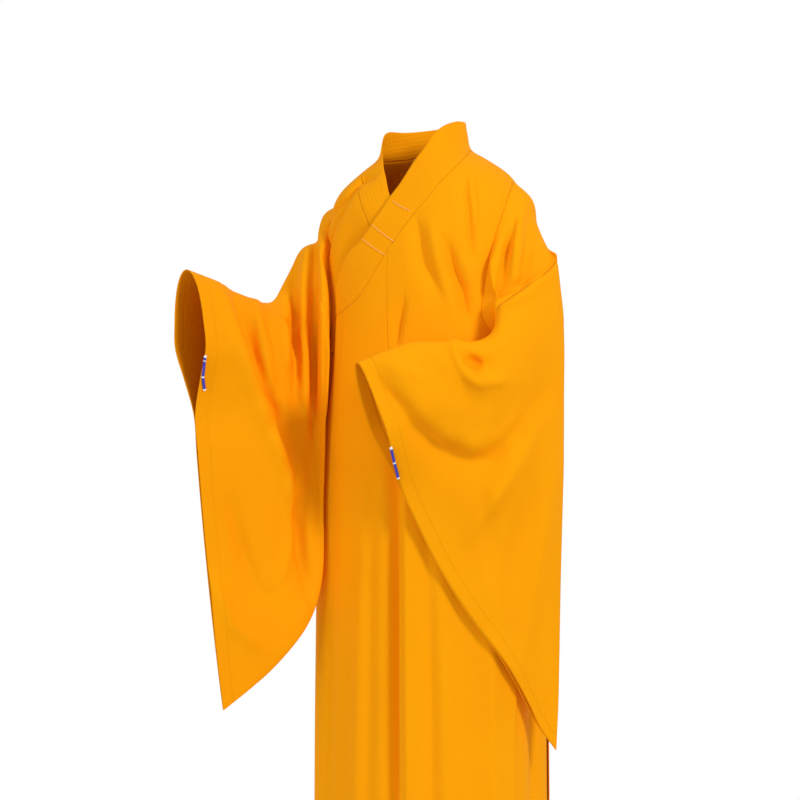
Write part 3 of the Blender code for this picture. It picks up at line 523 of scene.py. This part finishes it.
# %% Loops of a sleeve
def armhole(side, turn):
    """Angle and level on the armhole of one side, at a turn from the armpit."""
    turn = np.asarray(turn, float) % 1.0
    angle, level = [spline(ARMHOLE["turn"], ARMHOLE[name], turn) for name in ("angle", "level")]
    return side * angle, level


def bag_loop(table, at, around):
    """Loops of a sleeve bag. A half turn of around is the front layer, the rest the back layer."""
    at = np.asarray(at, float)[:, None]
    around = np.asarray(around, float)[None, :]
    part = {name: read(values, at) for name, values in table.items()}
    inner = from_view(part["in_across"] * MM, part["in_up"] * MM, part["in_away"] * MM)
    outer = from_view(part["out_across"] * MM, part["out_up"] * MM, part["out_away"] * MM)
    down = (1 - np.cos(around)) / 2
    swell = np.sin(around)
    line = inner + (outer - inner) * down[..., None]
    open_share = 1 - part["shut"] * ease((down - HAND_OPENING) / 0.10)
    space = (part["thin"] + part["thick"] * (1 - down) ** 2) * MM * open_share + LAYER_SPACE
    facing = np.radians(part["facing"])
    view_side = np.array([cos(VIEW_TURN), sin(VIEW_TURN), 0.0])
    view_away = np.array([-sin(VIEW_TURN), cos(VIEW_TURN), 0.0])
    front = np.sin(facing)[..., None] * view_side - np.cos(facing)[..., None] * view_away
    bow = 4 * down * (1 - down) * part["bow"] * MM
    points = line + front * (space * swell)[..., None] + view_side * bow[..., None]
    behind = np.clip(-swell, 0, 1) ** 0.8 * MM
    points = points + view_away * (part["behind"] * behind)[..., None]
    points[..., 2] -= part["drop"] * behind
    return points

# %% [markdown]
# The bag's front layer carries the folds that show. They could be carved afterwards, but here they are
# added before the bag is held clear of the torso, so nothing sinks into the body.

# %% The sleeve bag with its folds
def layer_clearance(around):
    """Room kept to the torso, more under the front layer, which lies over the back layer."""
    return BACK_CLEARANCE + (FRONT_CLEARANCE - BACK_CLEARANCE) * ease(0.5 + np.sin(around) * 2)


def sleeve_points(table, folds, at, around):
    """A sleeve bag with its folds, clear of the torso."""
    points = bag_loop(table, at, around)
    is_front = np.clip(np.sin(around), 0, 1)[None, :] ** 0.3
    rise = fold_rise(in_view(points), folds) * MM * is_front
    outward = loop_normals(points)
    points = points + outward * rise[..., None]
    return clear_of_torso(points, layer_clearance(around))


def loop_normals(points):
    """Outward unit normals of a grid whose rows are closed loops."""
    along = np.gradient(points, axis=0)
    around = np.roll(points, -1, axis=1) - np.roll(points, 1, axis=1)
    normal = np.cross(along, around)
    normal /= size_of(normal)[..., None] + 1e-12
    centre = points.mean(axis=1, keepdims=True)
    facing = np.sum(normal * (points - centre), axis=(1, 2))
    return normal * np.where(facing.sum() < 0, -1.0, 1.0)

# %% [markdown]
# The upper sleeve joins the armhole to the bag. It could be a tube bridged to the bag, but straight rows
# between the two loops keep one even surface. The left sleeve's hidden back layer is drawn even, as the arm
# is bent there.

# %% The whole sleeve
def sleeve_start(side):
    """The upper sleeve's armhole turn for each step round the bag."""
    around = 2 * pi * np.arange(ROUND_SLEEVE) / ROUND_SLEEVE
    steps = np.arange(ROUND_SLEEVE) / ROUND_SLEEVE
    armpit = (LEFT_ARMPIT_STEP if side > 0 else RIGHT_ARMPIT_STEP) / ROUND_SLEEVE
    turn = side * (steps - armpit)
    return around, turn % 1.0


def sleeve_bag(side, rows, around):
    """All the loops of one sleeve bag, from the seam with the upper sleeve to the mouth."""
    table, folds = (LEFT_SLEEVE, LEFT_SLEEVE_FOLDS) if side > 0 else (RIGHT_SLEEVE, RIGHT_SLEEVE_FOLDS)
    points = sleeve_points(table, folds, np.linspace(0, 1, rows + 1), around)
    if side < 0:
        return points
    first = points[0]
    front = np.clip(np.sin(around), 0, 1)[:, None] ** 1.2
    tucked = first + (first.mean(axis=0) - first) * 0.14 * front
    tucked[:, 2:] -= CREST_TUCK * front
    tucked[:, 2:] += SEAM_ROW * (1 - front)
    return np.concatenate([clear_of_torso(tucked[None], layer_clearance(around)), points])


def whole_sleeve(side, folds):
    """All the loops of a sleeve, from the armhole to the mouth, on one surface."""
    around, turn = sleeve_start(side)
    bag = sleeve_bag(side, SLEEVE_ROWS, around)
    angle, level = armhole(side, turn)
    panel_lift = outer_lift(angle, level) if side > 0 else under_lift(angle, level)
    start = torso_cloth(angle, level, SEWN + panel_lift)
    share = np.linspace(0, 1, UPPER_ROWS + 1)[:-1, None, None]
    points = start[None] * (1 - share) + bag[:1] * share
    outward = loop_normals(points)
    middle = np.sin(pi * share[..., 0]) * (1 - share[..., 0])
    rise = fold_rise(in_view(points), folds) * MM * ease(middle * 4)
    points = points + outward * (SLEEVE_PUFF * middle + rise)[..., None]
    back_layer = ease(0.5 - np.sin(around) * 2)[None, :]
    room = LAP + (layer_clearance(around) - LAP)[None, :] * ease(share[..., 0] * 4)
    room = room + (UPPER_CLEARANCE + UPPER_STEP * share[..., 0] - room) * back_layer * ease(share[..., 0] * 4)
    points[1:] = clear_of_torso(points, room)[1:]
    room = np.concatenate([room, np.broadcast_to(layer_clearance(around), bag.shape[:2])])
    points = np.concatenate([points, bag])
    return evened(points, around, room) if side > 0 else points


def evened(points, around, room):
    """The left sleeve with its hidden back layer drawn even between armhole and bag, clear of the torso."""
    rows = np.arange(len(points))
    hidden = ease(EVEN_REACH - 1.6 * np.sin(around - EVEN_TURN))
    share = ease(rows / 2)[:, None] * ease((EVEN_ROWS - rows) / 5)[:, None] * hidden
    for _ in range(EVEN_PASSES):
        along = (points[:-2] + points[2:]) / 2
        across = (np.roll(points, 1, axis=1) + np.roll(points, -1, axis=1))[1:-1] / 2
        points[1:-1] += (0.5 * along + 0.5 * across - points[1:-1]) * share[1:-1, :, None]
        points += (clear_of_torso(points, room) - points) * ease(share * 8)[..., None]
    return points

# %% [markdown]
# Smooth rows are added between those of the solids, so a sheet bends where its solid has flat facets.

# %% Divide a grid
def between_rows(grid, times, closed):
    """The grid with smooth rows added between its own, along its first axis."""
    if closed:
        padded = np.concatenate([grid[-1:], grid, grid[:2]])
    else:
        padded = np.concatenate([2 * grid[:1] - grid[1:2], grid, 2 * grid[-1:] - grid[-2:-1]])
    before, start, end, after = padded[:-3], padded[1:-2], padded[2:-1], padded[3:]
    rows = []
    for t in np.arange(times) / times:
        slope = (end - before) * t + (2 * before - 5 * start + 4 * end - after) * t**2
        rows.append(start + 0.5 * (slope + (3 * start - before - 3 * end + after) * t**3))
    smooth = np.stack(rows, axis=1).reshape((-1,) + grid.shape[1:])
    return smooth if closed else np.concatenate([smooth, grid[-1:]])


def divided(grid, row_times, step_times, closed=False):
    """A grid with rows and steps added, closed round its steps or open."""
    rows = between_rows(grid, row_times, False)
    return np.swapaxes(between_rows(np.swapaxes(rows, 0, 1), step_times, closed), 0, 1)

# %% [markdown]
# The cloth is a matte plain weave in orange-yellow, a little uneven as dyed cloth is. Fine threads run
# across it, and a stitched line follows each hem. Noise on the object's own coordinates makes the threads,
# because an image would have to be laid out on every piece.

# %% Cloth material
BASE = (1.0, 0.385, 0.0, 1.0)
DEEP = (0.97, 0.345, 0.0, 1.0)
THREADS = (90.0, 90.0, 900.0)
ROUGHNESS = 0.82
SHINE = 0.08
PATCHES = 7.0
WEAVE = (0.22, 0.0006)
HEM_LINES = (0.024,)
COLLAR_LINES = (0.006, 0.014, 0.022, 0.030, 0.038, 0.046)
LINE_WIDTH = 0.0022
LINE_DEPTH = 0.0012


def linked(tree, kind, **inputs):
    """A new shader node with some of its inputs set or linked."""
    node = tree.nodes.new(kind)
    for name, value in inputs.items():
        socket = node.inputs[name.replace("_", " ")]
        if isinstance(value, bpy.types.NodeSocket):
            tree.links.new(value, socket)
        else:
            socket.default_value = value
    return node

# %% [markdown]
# The material is built once for each kind of stitching, from a colour with soft patches, a fine weave and a
# groove at each stitched line. Modelled threads would be far too many, so the weave is bump alone.

# %% The cloth's finish
def cloth_material(name, stitch_lines, depth):
    """Woven cloth with a stitched line, of some depth, at each distance from the piece's edge."""
    material = bpy.data.materials.new(name)
    material.use_nodes = True
    tree = material.node_tree
    shader = tree.nodes["Principled BSDF"]
    shader.inputs["Roughness"].default_value = ROUGHNESS
    shader.inputs["Specular IOR Level"].default_value = SHINE
    place = tree.nodes.new("ShaderNodeTexCoord")
    patches = linked(tree, "ShaderNodeTexNoise", Vector=place.outputs["Object"], Scale=PATCHES, Detail=3.0)
    tint = tree.nodes.new("ShaderNodeMix")
    tint.data_type = "RGBA"
    tree.links.new(patches.outputs["Fac"], tint.inputs["Factor"])
    tint.inputs["A"].default_value = BASE
    tint.inputs["B"].default_value = DEEP
    tree.links.new(tint.outputs["Result"], shader.inputs["Base Color"])
    stretched = linked(tree, "ShaderNodeMapping", Vector=place.outputs["Object"], Scale=THREADS)
    threads = linked(tree, "ShaderNodeTexNoise", Vector=stretched.outputs["Vector"], Scale=1.0, Detail=2.0)
    bump = linked(tree, "ShaderNodeBump", Height=threads.outputs["Fac"], Strength=WEAVE[0], Distance=WEAVE[1])
    for line in stitch_lines:
        split = linked(tree, "ShaderNodeSeparateXYZ", Vector=place.outputs["UV"])
        off = tree.nodes.new("ShaderNodeMath")
        off.operation = "SUBTRACT"
        tree.links.new(split.outputs["Y"], off.inputs[0])
        off.inputs[1].default_value = line
        size = tree.nodes.new("ShaderNodeMath")
        size.operation = "ABSOLUTE"
        tree.links.new(off.outputs[0], size.inputs[0])
        band = linked(tree, "ShaderNodeMapRange", Value=size.outputs[0], From_Min=0.0, From_Max=LINE_WIDTH)
        bump = linked(tree, "ShaderNodeBump", Height=band.outputs["Result"], Normal=bump.outputs["Normal"],
                      Strength=depth, Distance=LINE_DEPTH)
    tree.links.new(bump.outputs["Normal"], shader.inputs["Normal"])
    return material


hem_cloth = cloth_material("hemmed_cloth", HEM_LINES, 0.6)
collar_cloth = cloth_material("collar_cloth", COLLAR_LINES, 0.25)
print("cloth materials", hem_cloth.name, collar_cloth.name)

# %% [markdown]
# A piece is a grid of points with a thin wall. Its map holds the distance from its hem, which places the
# stitching.

# %% A sheet from a grid
BODY_MIDDLE = (0.01, 0.0, -0.6)


def add_sheet(name, points, closed, material, from_edge, *nodes):
    """A sheet of cloth that stands for CAD nodes. from_edge is each point's distance from the hem."""
    rows, steps = points.shape[:2]
    turns = steps if closed else steps - 1
    row, step = np.meshgrid(np.arange(rows - 1), np.arange(turns), indexing="ij")
    after = (step + 1) % steps
    low, high = row * steps, (row + 1) * steps
    faces = np.stack([low + step, low + after, high + after, high + step], -1)
    mesh = bpy.data.meshes.new(name)
    mesh.from_pydata(points.reshape(-1, 3).tolist(), [], faces.reshape(-1, 4).tolist())
    corner = np.empty(len(mesh.loops), np.int32)
    mesh.loops.foreach_get("vertex_index", corner)
    along = across_rows(points)
    chart = np.stack([along, np.broadcast_to(from_edge, along.shape)], -1).reshape(-1, 2)
    mesh.uv_layers.new(name="cloth").data.foreach_set("uv", chart[corner].ravel())
    middle = points.mean(axis=1, keepdims=True) if closed else np.array(BODY_MIDDLE)
    centre = np.array([face.center for face in mesh.polygons]).reshape(rows - 1, turns, 3)
    normal = np.array([face.normal for face in mesh.polygons]).reshape(rows - 1, turns, 3)
    out = centre - (middle[:-1] if closed else middle)
    out[..., 2] *= 1.0 if closed else 0.0
    if (normal * out).sum() < 0:
        mesh.flip_normals()
    mesh.shade_smooth()
    sheet = bpy.data.objects.new(name, mesh)
    bpy.context.scene.collection.objects.link(sheet)
    mesh.materials.append(material)
    wall = sheet.modifiers.new("wall", "SOLIDIFY")
    wall.thickness = SHEET
    wall.offset = 1.0
    bpy.ops.object.select_all(action="DESELECT")
    bpy.context.view_layer.objects.active = sheet
    sheet.select_set(True)
    bpy.ops.object.modifier_apply(modifier="wall")
    area = size_of(np.cross(points[1:, 1:] - points[:-1, :-1], points[1:, :-1] - points[:-1, 1:]))
    width = size_of(np.diff(points, axis=1)).sum(axis=1)
    length = size_of(np.diff(points, axis=0)).sum(axis=0)
    print(name, "area %.3f width %.3f length %.3f" % (area.sum() / 2, width.max(), length.max()),
          "triangles", len(sheet.data.polygons) * 2)
    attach(sheet, "root")
    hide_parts(*nodes)

# %% [markdown]
# A panel lies on the torso between two edges. It could be cut from a whole torso mesh, but a grid of its
# own gives each piece a clean edge and an even weave.

# %% Panels on the torso
def add_panel(name, points):
    """A panel that is hemmed at its foot alone."""
    add_sheet(name + "_cloth", points, False, hem_cloth, points[..., 2] - HEM, name)


def fine_torso(angle, level, lift):
    """Torso points on rows divided further than those of the solids."""
    angle, level, lift = np.broadcast_arrays(angle, level, lift)
    return torso_cloth(*[divided(grid, PANEL_TIMES, PANEL_TIMES) for grid in (angle, level, lift)])


def fine_panel(first, last, steps, lift):
    """Fine torso points between two edges, each given as angles and levels."""
    share = np.linspace(0, 1, steps + 1)[None, :]
    angle = first[0][:, None] + (last[0] - first[0])[:, None] * share
    level = first[1][:, None] + (last[1] - first[1])[:, None] * share
    return fine_torso(angle, level, lift(angle, level))

# %% [markdown]
# Neighbouring panels share their edge points, so these lines are worked out once. The outer front lies
# above the right front, which is how a crossed robe closes.

# %% Edges of the panels
def panel_side(face):
    """Outer edge of a panel from the hem to the neck. Face 1 is the front, -1 the back."""
    slit_level = SLIT["level"]
    slit_angle = SLIT["front_angle" if face > 0 else "back_angle"]
    low = HEM + (ARMPIT - HEM) * np.linspace(0, 1, BELOW_ARM_ROWS + 1)[:-1]
    low_edge = np.where(low < slit_level[-1], spline(slit_level, slit_angle, low), SIDE_SEAM)
    turns = np.arange(ARM_ROWS + 1) / ROUND_SLEEVE
    arm_edge, arm = armhole(1, turns if face > 0 else 1 - turns)
    neck = np.interp(-SHOULDER_SEAM, -COLLAR["seam_angle"], SEAM_STATION)
    top = read(COLLAR["seam_level"], neck)
    share = np.linspace(0, 1, SHOULDER_ROWS + 1)[1:]
    high = arm[-1] + (top - arm[-1]) * share
    high_edge = arm_edge[-1] + (-SHOULDER_SEAM - arm_edge[-1]) * share
    return np.concatenate([low_edge, arm_edge, high_edge]), np.concatenate([low, arm, high])


def seam_point(at):
    """Angle and level of the collar seam at stations from 0 to 1, with the angle within a half turn."""
    angle = read(COLLAR["seam_angle"], at)
    return (angle + 180) % 360 - 180, read(COLLAR["seam_level"], at)


def station(seam_angle):
    """Collar station at an angle of the seam, counted down from the end under the overlap."""
    return float(np.interp(-seam_angle, -COLLAR["seam_angle"], SEAM_STATION))


def collar_stations():
    """Stations of the collar band, by the panel that each stretch is sewn to."""
    right_shoulder = station(SHOULDER_SEAM)
    middle = station(-180.0)
    left_shoulder = station(-360.0 - SHOULDER_SEAM)
    crossing = station(CROSSING)
    return {
        "front_right": np.linspace(0, right_shoulder, UNDERLAP_COLLAR_ROWS + 1),
        "back_right": np.linspace(right_shoulder, middle, PANEL_STEPS + 1),
        "back_left": np.linspace(middle, left_shoulder, PANEL_STEPS + 1),
        "front_left": np.linspace(left_shoulder, crossing, OUTER_COLLAR_ROWS + 1),
        "front_overlap": np.linspace(crossing, 1, OVERLAP_STEPS + 1),
    }

# %% [markdown]
# The outer front stands a little off the body and the right front a little within it. A gap at every level
# keeps the layers apart without a simulation.

# %% How the layers lie over each other
def outer_lift(angle, level):
    """How far the outer front lies above the torso's own surface, the same at every level."""
    return OUTER_LIFT * (1 - ease((angle - 42) / 30)) + np.zeros_like(level)


def under_lift(angle, level):
    """How far the right front lies within it, where the outer front covers it."""
    return -UNDER_DEPTH * ease((angle + 58) / 20) * ease((-0.09 - level) / 0.09)


def inset(edge, direction):
    """An edge moved by half of a seam's gap, in degrees at its own radius."""
    radius = size_of(torso(edge[0], edge[1])[..., :2])
    return edge[0] + direction * np.degrees(SEAM_HALF_GAP / np.minimum(radius, 0.17)), edge[1]


def centre_seam(levels):
    """The centre-front seam at the given levels."""
    return spline(CENTRE_SEAM["level"], CENTRE_SEAM["angle"], levels), levels


def join(low, high):
    """Two stretches of an edge, one above the other."""
    return np.concatenate([low[0], high[0]]), np.concatenate([low[1], high[1]])

# %% [markdown]
# The back is cut in two halves with a seam down the middle, because the cloth is narrower than the robe.
# Each is held at the shoulder and hangs free to the hem. A flat plane could be draped, but a grid between
# the seams keeps both halves on the torso surface.

# %% Back halves
# The two halves of the back, joined at the centre-back seam.
stations = collar_stations()
for side, name in ((1, "back_left"), (-1, "back_right")):
    angle, level = panel_side(-1)
    neck_angle, neck_level = seam_point(stations[name][::-side])
    neck_angle = np.where(np.abs(neck_angle) > 179.9, 180.0, np.abs(neck_angle))
    first = inset((angle, level), 1)
    last = inset((np.full(angle.shape, 180.0), level), -1)
    share = ((neck_angle - neck_angle[0]) / (neck_angle[-1] - neck_angle[0]))[None, :]
    angles = first[0][:, None] + (last[0] - first[0])[:, None] * share
    levels = np.repeat(level[:, None], share.size, axis=1)
    toward_neck = np.clip((levels - levels[-5]) / (levels[-1] - levels[-5]), 0, 1)
    levels = levels + toward_neck * (neck_level - neck_level[0])[None, :]
    points = fine_torso(side * angles, levels, 0.0)
    add_panel(name, points)

# %% [markdown]
# The left front comes from the shoulder seam and the collar to the seam down the middle. It shows most of
# the chest, so its creases are the ones that matter most. They could be sculpted, but listed routes stay
# where they are drawn.

# %% Left front
def outer_edge():
    """Inner edge of the left front: the centre-front seam and then the collar seam."""
    _, level = panel_side(1)
    below = BELOW_ARM_ROWS + 1
    crossing_level = seam_point(np.array([station(CROSSING)]))[1][0]
    count = level.size - below - OUTER_COLLAR_ROWS
    above = level[below - 1] + (crossing_level - level[below - 1]) * np.linspace(0, 1, count + 1)[1:]
    seam = centre_seam(np.concatenate([level[:below], above]))
    collar = seam_point(collar_stations()["front_left"][::-1][1:])
    return seam, collar


# The outer front from the centre-front seam and the collar to the side.
first = inset(join(*outer_edge()), 1)
last = inset(panel_side(1), -1)
points = fine_panel(first, last, PANEL_STEPS + 4, outer_lift)
add_panel("front_left", points)

# %% [markdown]
# An extension is sewn to the left front and crosses to the wearer's right, where its free edge hangs. Its
# fold down the middle lies over the seam. It could be one with the left front, but the real one is sewn on,
# so it keeps a sheet of its own.

# %% Overlap
# The outer front's extension, from its free edge at the wearer's right to the centre-front seam.
seam, _ = outer_edge()
last = inset(seam, -1)
share_up = ((seam[1] - HEM) / (seam[1][-1] - HEM))[:, None]
top_angle, top_level = seam_point(collar_stations()["front_overlap"][::-1])
level = HEM + (top_level[None, :] - HEM) * share_up
free = spline(FREE_EDGE["level"], FREE_EDGE["angle"], level[:, 0])
share = ((top_angle - top_angle[0]) / (top_angle[-1] - top_angle[0]))[None, :]
angle = free[:, None] + (last[0] - free)[:, None] * share
points = fine_torso(angle, level, outer_lift(angle, level))
from_free_edge = across_rows(points)
from_edge = np.minimum(points[..., 2] - HEM, from_free_edge)
add_sheet("front_overlap_cloth", points, False, hem_cloth, from_edge, "front_overlap")

# %% [markdown]
# The right front goes under the overlap. Only its shoulder shows, between the collar and the sleeve. It
# could stop there, but it is made whole, because it shows from below and inside the neck.

# %% Right front
# The right front, which goes under the outer front.
side_angle, side_level = panel_side(1)
first = inset((-side_angle, side_level), 1)
below = BELOW_ARM_ROWS + 1
collar = seam_point(collar_stations()["front_right"])
count = side_level.size - below - UNDERLAP_COLLAR_ROWS - 1
above = side_level[below - 1] + (collar[1][0] - side_level[below - 1]) * np.linspace(0, 1, count + 2)[1:-1]
levels = np.concatenate([side_level[:below], above])
free = spline(UNDERLAP_EDGE["level"], UNDERLAP_EDGE["angle"], levels), levels
last = join(free, collar)
points = fine_panel(first, last, PANEL_STEPS, under_lift)
add_panel("front_right", points)

# %% [markdown]
# A pleated gore fills the slit at each side, so that the skirt opens for walking. It could be a flat strip,
# but a bent one lies behind the slit as the real pleat does.

# %% Gores
# The pleated gores that fill the side slits.
for side, name in ((1, "gore_left"), (-1, "gore_right")):
    front_edge, level = panel_side(1)
    back_edge, _ = panel_side(-1)
    low = level < GORE_TOP
    levels = level[low]
    share = np.linspace(-1, 1, 9)[None, :]
    middle = (front_edge[low] + back_edge[low])[:, None] / 2
    half = (back_edge[low] - front_edge[low])[:, None] / 2 + GORE_TUCK
    angle = middle + half * share
    deep = ease((GORE_TOP - levels) / 0.35)[:, None]
    hollow = GORE_DEPTH * deep * (1 - share**2)
    lift = -GORE_UNDER - hollow - PLEAT_DEPTH * deep * np.exp(-(share / 0.28) ** 2)
    points = fine_torso(side * angle, np.broadcast_to(levels[:, None], angle.shape), lift)
    add_panel(name, points)

# %% [markdown]
# The collar is one doubled strip that runs from under the overlap, round the neck and down across the
# chest. Rows of stitching hold its layers together, and they show as fine grooves. It could be a profile
# along a curve, but a grid on the torso lets it lie flat on the fronts.

# %% Collar
# The collar band, one strip that crosses itself left over right.
stretches = list(collar_stations().values())
at = np.concatenate([stretches[0]] + [stretch[1:] for stretch in stretches[1:]])
part = {name: read(values, at)[:, None] for name, values in COLLAR.items()}
share = np.linspace(0, 1, 4)[None, :]
across = (part["edge_angle"] - part["seam_angle"]) * radians(1) * 0.1
rise = part["edge_level"] - part["seam_level"]
start = COLLAR_GAP / np.hypot(across, rise)
share = start + (1 - start) * share
angle = part["seam_angle"] + (part["edge_angle"] - part["seam_angle"]) * share
level = part["seam_level"] + rise * share
turned = (angle + 180) % 360 - 180
is_outer = part["seam_angle"] < -180
lift = np.where(is_outer, outer_lift(turned, level), under_lift(turned, level))
points = fine_torso(angle, level, lift)
from_seam = across_rows(points)
add_sheet("collar_cloth", points, False, collar_cloth, from_seam, "collar")

# %% [markdown]
# Each sleeve is one surface from the armhole to the mouth, with the elbow's creases near its top. The loops
# of the solid are divided, and the creases are then added along the surface's own normal.

# %% Sleeves
def creased(points, around, creases):
    """A sleeve's fine points with narrow creases on its front layer."""
    front = np.clip(np.sin(around), 0, 1)[None, :] ** 0.4
    rise = fold_rise(in_view(points), creases) * MM * front
    ends = np.clip(np.arange(len(points)) / (2 * SLEEVE_TIMES), 0, 1)[:, None]
    return points + loop_normals(points) * (rise * ends)[..., None]


sleeve_points_of = {}
for side, name, folds, creases in ((1, "sleeve_left", UPPER_LEFT_FOLDS, LEFT_CREASES),
                                   (-1, "sleeve_right", UPPER_RIGHT_FOLDS, RIGHT_CREASES)):
    loops = divided(whole_sleeve(side, folds), SLEEVE_TIMES, ROUND_TIMES, True)
    around = 2 * pi * np.arange(loops.shape[1]) / loops.shape[1]
    loops = creased(loops, around, creases)
    steps = size_of(np.diff(loops, axis=0))
    from_mouth = np.concatenate([steps[::-1].cumsum(axis=0)[::-1], np.zeros((1, loops.shape[1]))])
    sleeve_points_of[name] = loops
    layers = [name + "_upper", name + "_front", name + "_back"]
    add_sheet(name + "_cloth", loops, True, hem_cloth, from_mouth, *layers)

# %% [markdown]
# The fronts and the gores are cut to a slant, and a sleeve is cut as one folded piece. The sizes come from
# the widths, lengths and areas printed above, with a little ease.

# %% [markdown]
# Pale threads cross the collar in three places, and a blue thread is sewn near each cuff with white knots.
# They are ordinary hand stitches, so each is a thin round thread laid on the cloth.

# %% Hand stitches
COLLAR_THREADS = (
    ((-3.5, -0.077), (14.5, -0.1075)),
    ((-20.5, -0.131), (1.0, -0.1675)),
    ((-27.5, -0.161), (-6.0, -0.195)),
)
THREAD_LIFT = 0.0022
CUFF_LIFT = 0.0030
CUFF_RADIUS = 0.0026
KNOT_RADIUS = 0.0030
THREAD_RADIUS = 0.0005
LEFT_CUFF = ((-23, -95), (-16, -120), (-9, -148))
RIGHT_CUFFS = (((-382, 82), (-384, 76)), ((-377, 76), (-376, 48), (-371, 17)))


def plain_material(name, color, roughness=0.7):
    """An even colour, as matte as sewing thread unless a roughness is given."""
    material = bpy.data.materials.new(name)
    material.use_nodes = True
    shader = material.node_tree.nodes["Principled BSDF"]
    shader.inputs["Base Color"].default_value = (*color, 1.0)
    shader.inputs["Roughness"].default_value = roughness
    return material


def add_thread(name, points, radius, material):
    """A round thread through the points."""
    curve = bpy.data.curves.new(name, "CURVE")
    curve.dimensions = "3D"
    curve.bevel_depth = radius
    curve.bevel_resolution = 2
    curve.use_fill_caps = True
    line = curve.splines.new("POLY")
    line.points.add(len(points) - 1)
    for target, point in zip(line.points, points):
        target.co = (*[float(value) for value in point], 1.0)
    thread = bpy.data.objects.new(name, curve)
    bpy.context.scene.collection.objects.link(thread)
    curve.materials.append(material)
    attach(thread, "root")


def on_sleeve(loops, path):
    """Points on a sleeve's front layer under a path given in the three-quarter view."""
    around = loops.shape[1]
    front = loops[:, 1:around // 2]
    shown = in_view(front)
    outward = loop_normals(loops)[:, 1:around // 2]
    found = []
    for place in path:
        k = np.unravel_index(np.argmin(size_of(shown - np.array(place, float))), shown.shape[:2])
        found.append(front[k] + outward[k] * CUFF_LIFT)
    return found

# %% [markdown]
# Each stitch lies just above the cloth, and a knot sits at each bend of the blue thread. The knots could be
# bumps in the material, but they stand out at the edge of the cuff, so they are small balls.

# %% Sew the stitches
pale_thread = plain_material("pale_thread", (1.0, 0.60, 0.22))
blue_thread = plain_material("blue_thread", (0.04, 0.05, 0.50))
white_thread = plain_material("white_thread", (0.9, 0.88, 0.86))
for number, (start, end) in enumerate(COLLAR_THREADS):
    share = np.linspace(0, 1, 14)
    angle = start[0] + (end[0] - start[0]) * share
    level = start[1] + (end[1] - start[1]) * share
    points = torso_cloth(angle, level, outer_lift(angle, level) + THREAD_LIFT)
    add_thread("collar_stitch_%d" % (number + 1), points, THREAD_RADIUS, pale_thread)
CUFFS = [("left_cuff_stitch", "sleeve_left", LEFT_CUFF)]
for number, path in enumerate(RIGHT_CUFFS):
    CUFFS.append(("right_cuff_stitch_%d" % (number + 1), "sleeve_right", path))
for name, sleeve, path in CUFFS:
    points = on_sleeve(sleeve_points_of[sleeve], path)
    add_thread(name, points, CUFF_RADIUS, blue_thread)
    for number, point in enumerate(points):
        bpy.ops.mesh.primitive_uv_sphere_add(segments=12, ring_count=8, radius=KNOT_RADIUS,
                                             location=[float(value) for value in point])
        knot = bpy.context.object
        knot.name = name + "_knot_%d" % (number + 1)
        bpy.ops.object.transform_apply(location=True, rotation=False, scale=False)
        knot.data.shade_smooth()
        knot.data.materials.append(white_thread)
        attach(knot, "root")
print("threads", len(COLLAR_THREADS) + len(CUFFS))

# %% [markdown]
# The floor and the light are plain, so that the cloth's own shape shows. A soft lamp stands to the right,
# weaker ones stand at the front and above, and the white studio is brightest behind the robe.

# %% Floor and light
FLOOR = -1.47
FLOOR_RADIUS = 1.02
bpy.ops.mesh.primitive_circle_add(vertices=96, radius=FLOOR_RADIUS, fill_type="NGON", location=(0, 0, FLOOR))
floor = bpy.context.object
floor.name = "floor"
floor.data.materials.append(plain_material("pale_floor", (0.9, 0.9, 0.9), 0.9))
# The lamps, each a name, a place, a size and a power.
LAMPS = (
    ("key", (3.3, -1.4, 1.1), 0.8, 76.0),
    ("front", (-1.5, -3.3, 0.5), 1.8, 40.0),
    ("top", (-0.3, 0.4, 2.3), 1.6, 6.0),
)
for name, place, size, power in LAMPS:
    bpy.ops.object.light_add(type="AREA", location=place)
    lamp = bpy.context.object
    lamp.name = name
    lamp.data.size = size
    lamp.data.energy = power
    aim = np.array([0.0, 0.0, -0.5]) - np.array(place)
    tilt = float(np.arctan2(np.hypot(aim[0], aim[1]), -aim[2]))
    lamp.rotation_euler = (tilt, 0, float(np.arctan2(-aim[0], aim[1])))
world = bpy.data.worlds.new("studio")
world.use_nodes = True
tree = world.node_tree
background = tree.nodes["Background"]
background.inputs["Color"].default_value = (1.0, 1.0, 1.0, 1.0)
facing = linked(tree, "ShaderNodeVectorMath")
facing.operation = "DOT_PRODUCT"
ways = tree.nodes.new("ShaderNodeTexCoord")
tree.links.new(ways.outputs["Generated"], facing.inputs[0])
facing.inputs[1].default_value = (-sin(VIEW_TURN), cos(VIEW_TURN), 0.0)
glow = linked(tree, "ShaderNodeMapRange", Value=facing.outputs["Value"], From_Min=0.3, From_Max=0.9,
              To_Min=0.46, To_Max=1.0)
tree.links.new(glow.outputs["Result"], background.inputs["Strength"])
bpy.context.scene.world = world
bpy.context.scene.view_settings.view_transform = "Standard"
print("lamps", len(LAMPS))

# %% [markdown]
# The camera stands level with the chest, turned a little to the wearer's left, as in the photograph.

# %% Camera
LENS = 82.9
aim = (VIEW_ACROSS * cos(VIEW_TURN), VIEW_ACROSS * sin(VIEW_TURN), VIEW_UP)
camera_place = (aim[0] + sin(VIEW_TURN) * EYE_DISTANCE, aim[1] - cos(VIEW_TURN) * EYE_DISTANCE, aim[2])
bpy.ops.object.camera_add(location=camera_place, rotation=(radians(90), 0, VIEW_TURN))
camera = bpy.context.object
camera.data.lens = LENS
camera.data.sensor_width = 36
bpy.context.scene.camera = camera
print("camera at", [round(value, 3) for value in camera_place])
